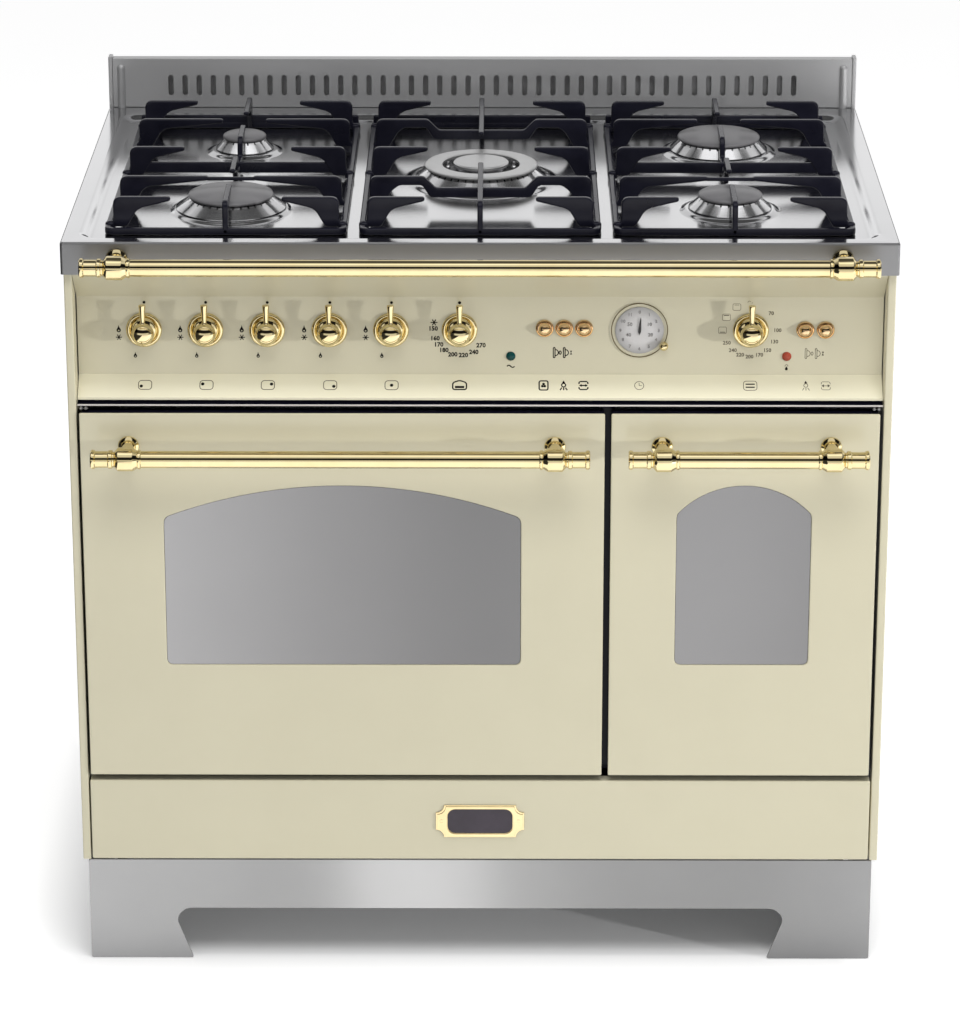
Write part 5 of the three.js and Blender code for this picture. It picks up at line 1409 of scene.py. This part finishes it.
DOOR_FACE, DOOR_FOOT, DOOR_TOP, HANDLE_Z, HANDLE_OUT = -293, 227.5, 654.5, 617.5, 45
DOORS = {  # its sides, its window, and the handle's middle, half length and half spacing of the stand-offs
    "left": ((-436, 136), (-347, 45, 360.5, 534, 571.5), (-150.5, 269.5, 232.2)),
    "right": ((143, 435), (215.5, 363.5, 361, 538, 572), (290.5, 130, 92)),
}
for side, ((x0, x1), window, (middle, half, post)) in DOORS.items():
    opening = window_outline(*window)
    face = rounded_rectangle(x0, x1, DOOR_FOOT, DOOR_TOP, 1.6, 3)
    skin = bmesh.new()
    plate(skin, face, DOOR_FACE, -289.6, facing_front, bevel=1.2, holes=[opening], steps=4)
    door_face = finished(f"door_{side}_face", skin, cream_enamel, crease=30)
    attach(door_face, f"door_{side}")
    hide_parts(f"door_{side}_skin")
    pane = bmesh.new()
    plate(pane, window_outline(*window, grow=-0.25), -291.7, -287.7, facing_front, bevel=0.3, steps=2)
    door_pane = finished(f"door_{side}_pane", pane, mirror_glass)
    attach(door_pane, f"door_{side}")
    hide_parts(f"door_{side}_glass")
    pan = bmesh.new()
    rim = rounded_rectangle(x0 + 0.8, x1 - 0.8, 228.3, 653.7, 2, 3)
    inside = rounded_rectangle(x0 + 3, x1 - 3, 230.5, 651.5, 2, 3)
    plate(pan, rim, -289.3, -270.6, facing_front, bevel=0.6, holes=[inside])
    floor = rounded_rectangle(x0 + 2.6, x1 - 2.6, 230.1, 651.9, 2, 3)
    plate(pan, floor, -271.2, -268.2, facing_front, bevel=0.8, holes=[opening])
    plate(pan, window_outline(*window, grow=3), -287, -268.6, facing_front, bevel=0.5,
          holes=[window_outline(*window, grow=0.3)])
    door_pan = finished(f"door_{side}_pan", pan, black_enamel, crease=35)
    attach(door_pan, f"door_{side}")
    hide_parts(f"door_{side}_inner")
    bar = bmesh.new()
    turned_rail(bar, middle, half, post, DOOR_FACE, HANDLE_Z, HANDLE_OUT)
    handle = finished(f"door_{side}_bar", bar, polished_brass, crease=30)
    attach(handle, f"door_{side}")
    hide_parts(f"door_{side}_handle")

# ---------------------------------------------------------------- storage drawer
# A cream enamelled steel front with folded edges, screwed to a galvanised steel box. The box slides in the
# channels of the chassis under the ovens.

galvanised = finish("galvanised", (0.38, 0.39, 0.40), (0.50, 0.51, 0.52), (0.38, 0.55), metallic=0.8,
                    cloud=18.0, grain=(120, 120, 120), relief=0.05)
DRAWER_FACE = -291
front_work = bmesh.new()
drawer_outline = rounded_rectangle(-437.3, 437.3, 123.7, 220, 1.6, 3)
plate(front_work, drawer_outline, DRAWER_FACE, -287, facing_front, bevel=1.2, steps=4)
plate(front_work, rounded_rectangle(-437.2, 437.2, 124.6, 219.9, 1.5, 3), -288, -276, facing_front, bevel=0.5,
      holes=[rounded_rectangle(-435.2, 435.2, 126.6, 217.9, 1.2, 3)])
drawer_face = finished("drawer_face", front_work, cream_enamel, crease=30)
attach(drawer_face, "drawer")
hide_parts("drawer_front")
coated("drawer_box", galvanised)

# ---------------------------------------------------------------- plate on the drawer
# A stamped brass plate with scooped corners round a sunk field in dark enamel. Two small screws hold it to
# the drawer's front.

BADGE_Z = 171  # the height of its middle
badge_brass = finish("badge_brass", (0.78, 0.62, 0.34), (0.88, 0.74, 0.44), (0.16, 0.26), metallic=1.0,
                     cloud=10.0, grain=(1200, 500, 1200), relief=0.02)
badge_field = finish("badge_field", (0.020, 0.014, 0.022), (0.038, 0.028, 0.042), (0.3, 0.42), cloud=20.0,
                     grain=(900, 900, 900), relief=0.05)


def scooped(half_width, half_height, scoop, steps=7):
    """Outline of the plate: a rectangle with a quarter circle taken out of each corner."""
    outline = []
    for sx, sz, flip in ((1, -1, False), (1, 1, True), (-1, 1, False), (-1, -1, True)):
        corner = [(sx * (half_width - scoop * math.cos(math.radians(90 * i / steps))),
                   BADGE_Z + sz * (half_height - scoop * math.sin(math.radians(90 * i / steps))))
                  for i in range(steps + 1)]
        outline += corner[::-1] if flip else corner
    return outline


badge = bmesh.new()
field = rounded_rectangle(-36.6, 36.6, BADGE_Z - 14.6, BADGE_Z + 14.6, 9)
plate(badge, scooped(49.6, 19.6, 9.2), -292.6, -291.3, facing_front, bevel=0.3, holes=[field])
plate(badge, scooped(48.2, 18.2, 9.6), -293.5, -292.2, facing_front, bevel=0.5, holes=[drawn_in(field, -0.6)])
plate(badge, drawn_in(field, -0.9), -291.6, -291.3, facing_front, bevel=0)
for x in (-43.2, 43.2):
    turned(badge, [(0, 1.9), (2.6, 1.9), (2.6, 2.5), (2.0, 2.7), (1.5, 2.65), (1.2, 2.2), (0, 2.1)],
           (x, DRAWER_FACE, BADGE_Z), axis="out", segments=24)
badge_plate = finished("badge_plate", badge, badge_brass, crease=35)
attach(badge_plate, "drawer")
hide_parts("badge")
field_work = bmesh.new()
plate(field_work, drawn_in(field, 0.1), -292.3, -291.7, facing_front, bevel=0.2, steps=2)
badge_enamel = finished("badge_dark_field", field_work, badge_field)
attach(badge_enamel, "drawer")

# ---------------------------------------------------------------- plinth and feet
# A stainless skirt folded from sheet, with a low arch cut in its front. It hides the two galvanised channels
# that the levelling feet are screwed to.

plinth_steel = finish("plinth_steel", (0.46, 0.46, 0.465), (0.54, 0.54, 0.545), (0.34, 0.44), metallic=1.0,
                      cloud=1.6, grain=(40, 900, 900), relief=0.03)
# painted reflection: lighter and darker bands across the skirt's width stand in for the reflections in it
silvered_across(plinth_steel, (
    (-442, 0.80), (-320, 0.72), (-215, 0.66), (-80, 1.0), (60, 0.64), (220, 0.52), (442, 0.60)))
skirt = bmesh.new()
arch = [(442, 122.3), (442, 0), (325.5, 0), (343, 46.5), (341.5, 53.5), (335, 60), (329, 62)]
front_shape = softened(arch + [(-x, z) for x, z in arch[::-1]], 3.0)
plate(skirt, front_shape, -290, -288, facing_front, bevel=0.5)
for side in (-1, 1):
    slab(skirt, *sorted((side * 440, side * 442)), -288.4, 290, 0, 122.3, 0.4)
plinth_skirt = finished("plinth_skirt", skirt, plinth_steel)
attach(plinth_skirt, "cabinet")
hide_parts("plinth")
for node in ("foot_rail_left", "foot_rail_right"):
    coated(node, galvanised)

# ---------------------------------------------------------------- ovens
# Two folded steel liners in speckled grey enamel, each with ledges for a chromed wire shelf. The shelf is a
# bent frame with straight wires welded across it.

speckled_enamel = finish("speckled_enamel", (0.022, 0.024, 0.032), (0.075, 0.08, 0.09), (0.22, 0.34),
                         cloud=90.0, grain=(700, 700, 700), relief=0.05)
chrome = finish("chrome_wire", (0.66, 0.66, 0.68), (0.76, 0.76, 0.78), (0.10, 0.18), metallic=1.0, cloud=20.0,
                grain=(900, 900, 900), relief=0.02)


def wire_shelf_tree():
    tree, given, result, keys = geometry_tree("wire_shelf", [
        ("Shelf Width", "NodeSocketFloat"), ("Shelf Depth", "NodeSocketFloat"),
        ("Wire Count", "NodeSocketInt"), ("Wire Radius", "NodeSocketFloat"),
        ("Frame Radius", "NodeSocketFloat"), ("Material", "NodeSocketMaterial")])
    frame_path = tree.nodes.new("GeometryNodeCurvePrimitiveQuadrilateral")
    link(tree, given.outputs["Shelf Width"], frame_path.inputs["Width"])
    link(tree, given.outputs["Shelf Depth"], frame_path.inputs["Height"])
    bent = tree.nodes.new("GeometryNodeFilletCurve")
    bent.mode = "POLY"
    bent.inputs["Count"].default_value = 5
    bent.inputs["Radius"].default_value = 14.0
    link(tree, frame_path.outputs[0], bent.inputs["Curve"])
    frame_section = tree.nodes.new("GeometryNodeCurvePrimitiveCircle")
    frame_section.inputs["Resolution"].default_value = 10
    link(tree, given.outputs["Frame Radius"], frame_section.inputs["Radius"])
    frame_wire = tree.nodes.new("GeometryNodeCurveToMesh")
    link(tree, bent.outputs[0], frame_wire.inputs["Curve"])
    link(tree, frame_section.outputs[0], frame_wire.inputs["Profile Curve"])
    row = tree.nodes.new("GeometryNodeMeshLine")
    row.mode = "OFFSET"
    link(tree, given.outputs["Wire Count"], row.inputs["Count"])
    pitch = tree_math(tree, "DIVIDE", given.outputs["Shelf Width"],
                      tree_math(tree, "ADD", given.outputs["Wire Count"], 1))
    step = tree.nodes.new("ShaderNodeCombineXYZ")
    link(tree, pitch, step.inputs["X"])
    link(tree, step.outputs[0], row.inputs["Offset"])
    first = tree.nodes.new("ShaderNodeCombineXYZ")
    link(tree, tree_math(tree, "ADD", tree_math(tree, "MULTIPLY", given.outputs["Shelf Width"], -0.5), pitch),
         first.inputs["X"])
    link(tree, first.outputs[0], row.inputs["Start Location"])
    wire = tree.nodes.new("GeometryNodeMeshCylinder")
    wire.inputs["Vertices"].default_value = 8
    link(tree, given.outputs["Wire Radius"], wire.inputs["Radius"])
    link(tree, tree_math(tree, "SUBTRACT", given.outputs["Shelf Depth"], 0.5), wire.inputs["Depth"])
    laid = tree.nodes.new("GeometryNodeTransform")
    laid.inputs["Rotation"].default_value = (math.pi / 2, 0, 0)
    link(tree, wire.outputs["Mesh"], laid.inputs["Geometry"])
    copies = tree.nodes.new("GeometryNodeInstanceOnPoints")
    link(tree, row.outputs[0], copies.inputs["Points"])
    link(tree, laid.outputs[0], copies.inputs["Instance"])
    together = tree.nodes.new("GeometryNodeJoinGeometry")
    link(tree, copies.outputs[0], together.inputs[0])
    link(tree, frame_wire.outputs[0], together.inputs[0])
    real = tree.nodes.new("GeometryNodeRealizeInstances")
    link(tree, together.outputs[0], real.inputs[0])
    painted = tree.nodes.new("GeometryNodeSetMaterial")
    link(tree, real.outputs[0], painted.inputs["Geometry"])
    link(tree, given.outputs["Material"], painted.inputs["Material"])
    link(tree, painted.outputs[0], result.inputs[0])
    return tree, keys


WIRE_SHELF, WIRE_SHELF_KEYS = wire_shelf_tree()
for side, x0, x1, wires in (("left", -383, 83, 17), ("right", 190, 388, 7)):
    coated(f"oven_liner_{side}", speckled_enamel)
    shelf = grown(f"wire_shelf_{side}", WIRE_SHELF, WIRE_SHELF_KEYS, {
        "Shelf Width": x1 - x0 - 7.0, "Shelf Depth": 443.0, "Wire Count": wires, "Wire Radius": 1.5,
        "Frame Radius": 2.45, "Material": chrome})
    shelf_work = bmesh.new()
    shelf_work.from_mesh(shelf)
    shelf_work.transform(Matrix.Translation(((x0 + x1) / 2, -32, 461.8)))
    wire_shelf = finished(f"shelf_{side}_wires", shelf_work, chrome, crease=60)
    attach(wire_shelf, "cabinet")
    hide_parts(f"oven_rack_{side}")

# ---------------------------------------------------------------- back and gas pipe
# A galvanised sheet with vents closes the back, held by a row of screws along each edge. The gas rail behind
# the panel feeds the valves and leaves through it.

for node in ("back_panel", "valve_rail"):
    coated(node, galvanised)


def screw_row_tree():
    tree, given, result, keys = geometry_tree("screw_row", [
        ("Screw Count", "NodeSocketInt"), ("Row Start", "NodeSocketVector"), ("Row Step", "NodeSocketVector"),
        ("Head Radius", "NodeSocketFloat"), ("Material", "NodeSocketMaterial")])
    row = tree.nodes.new("GeometryNodeMeshLine")
    row.mode = "OFFSET"
    link(tree, given.outputs["Screw Count"], row.inputs["Count"])
    link(tree, given.outputs["Row Start"], row.inputs["Start Location"])
    link(tree, given.outputs["Row Step"], row.inputs["Offset"])
    head = tree.nodes.new("GeometryNodeMeshCone")
    head.inputs["Vertices"].default_value = 12
    link(tree, given.outputs["Head Radius"], head.inputs["Radius Bottom"])
    link(tree, tree_math(tree, "MULTIPLY", given.outputs["Head Radius"], 0.6), head.inputs["Radius Top"])
    link(tree, tree_math(tree, "MULTIPLY", given.outputs["Head Radius"], 0.45), head.inputs["Depth"])
    turned_out = tree.nodes.new("GeometryNodeTransform")
    turned_out.inputs["Rotation"].default_value = (-math.pi / 2, 0, 0)
    link(tree, head.outputs["Mesh"], turned_out.inputs["Geometry"])
    copies = tree.nodes.new("GeometryNodeInstanceOnPoints")
    link(tree, row.outputs[0], copies.inputs["Points"])
    link(tree, turned_out.outputs[0], copies.inputs["Instance"])
    real = tree.nodes.new("GeometryNodeRealizeInstances")
    link(tree, copies.outputs[0], real.inputs[0])
    painted = tree.nodes.new("GeometryNodeSetMaterial")
    link(tree, real.outputs[0], painted.inputs["Geometry"])
    link(tree, given.outputs["Material"], painted.inputs["Material"])
    link(tree, painted.outputs[0], result.inputs[0])
    return tree, keys


SCREW_ROW, SCREW_ROW_KEYS = screw_row_tree()
screws = bmesh.new()
for start, step, count in (((-438, 298, 150), (0, 0, 96), 7), ((438, 298, 150), (0, 0, 96), 7),
                           ((-350, 298, 838), (100, 0, 0), 8), ((-350, 298, 134), (100, 0, 0), 8)):
    screws.from_mesh(grown("screw_row", SCREW_ROW, SCREW_ROW_KEYS, {
        "Screw Count": count, "Row Start": start, "Row Step": step, "Head Radius": 4.0,
        "Material": galvanised}))
back_screws = finished("back_screws", screws, galvanised)
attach(back_screws, "cabinet")
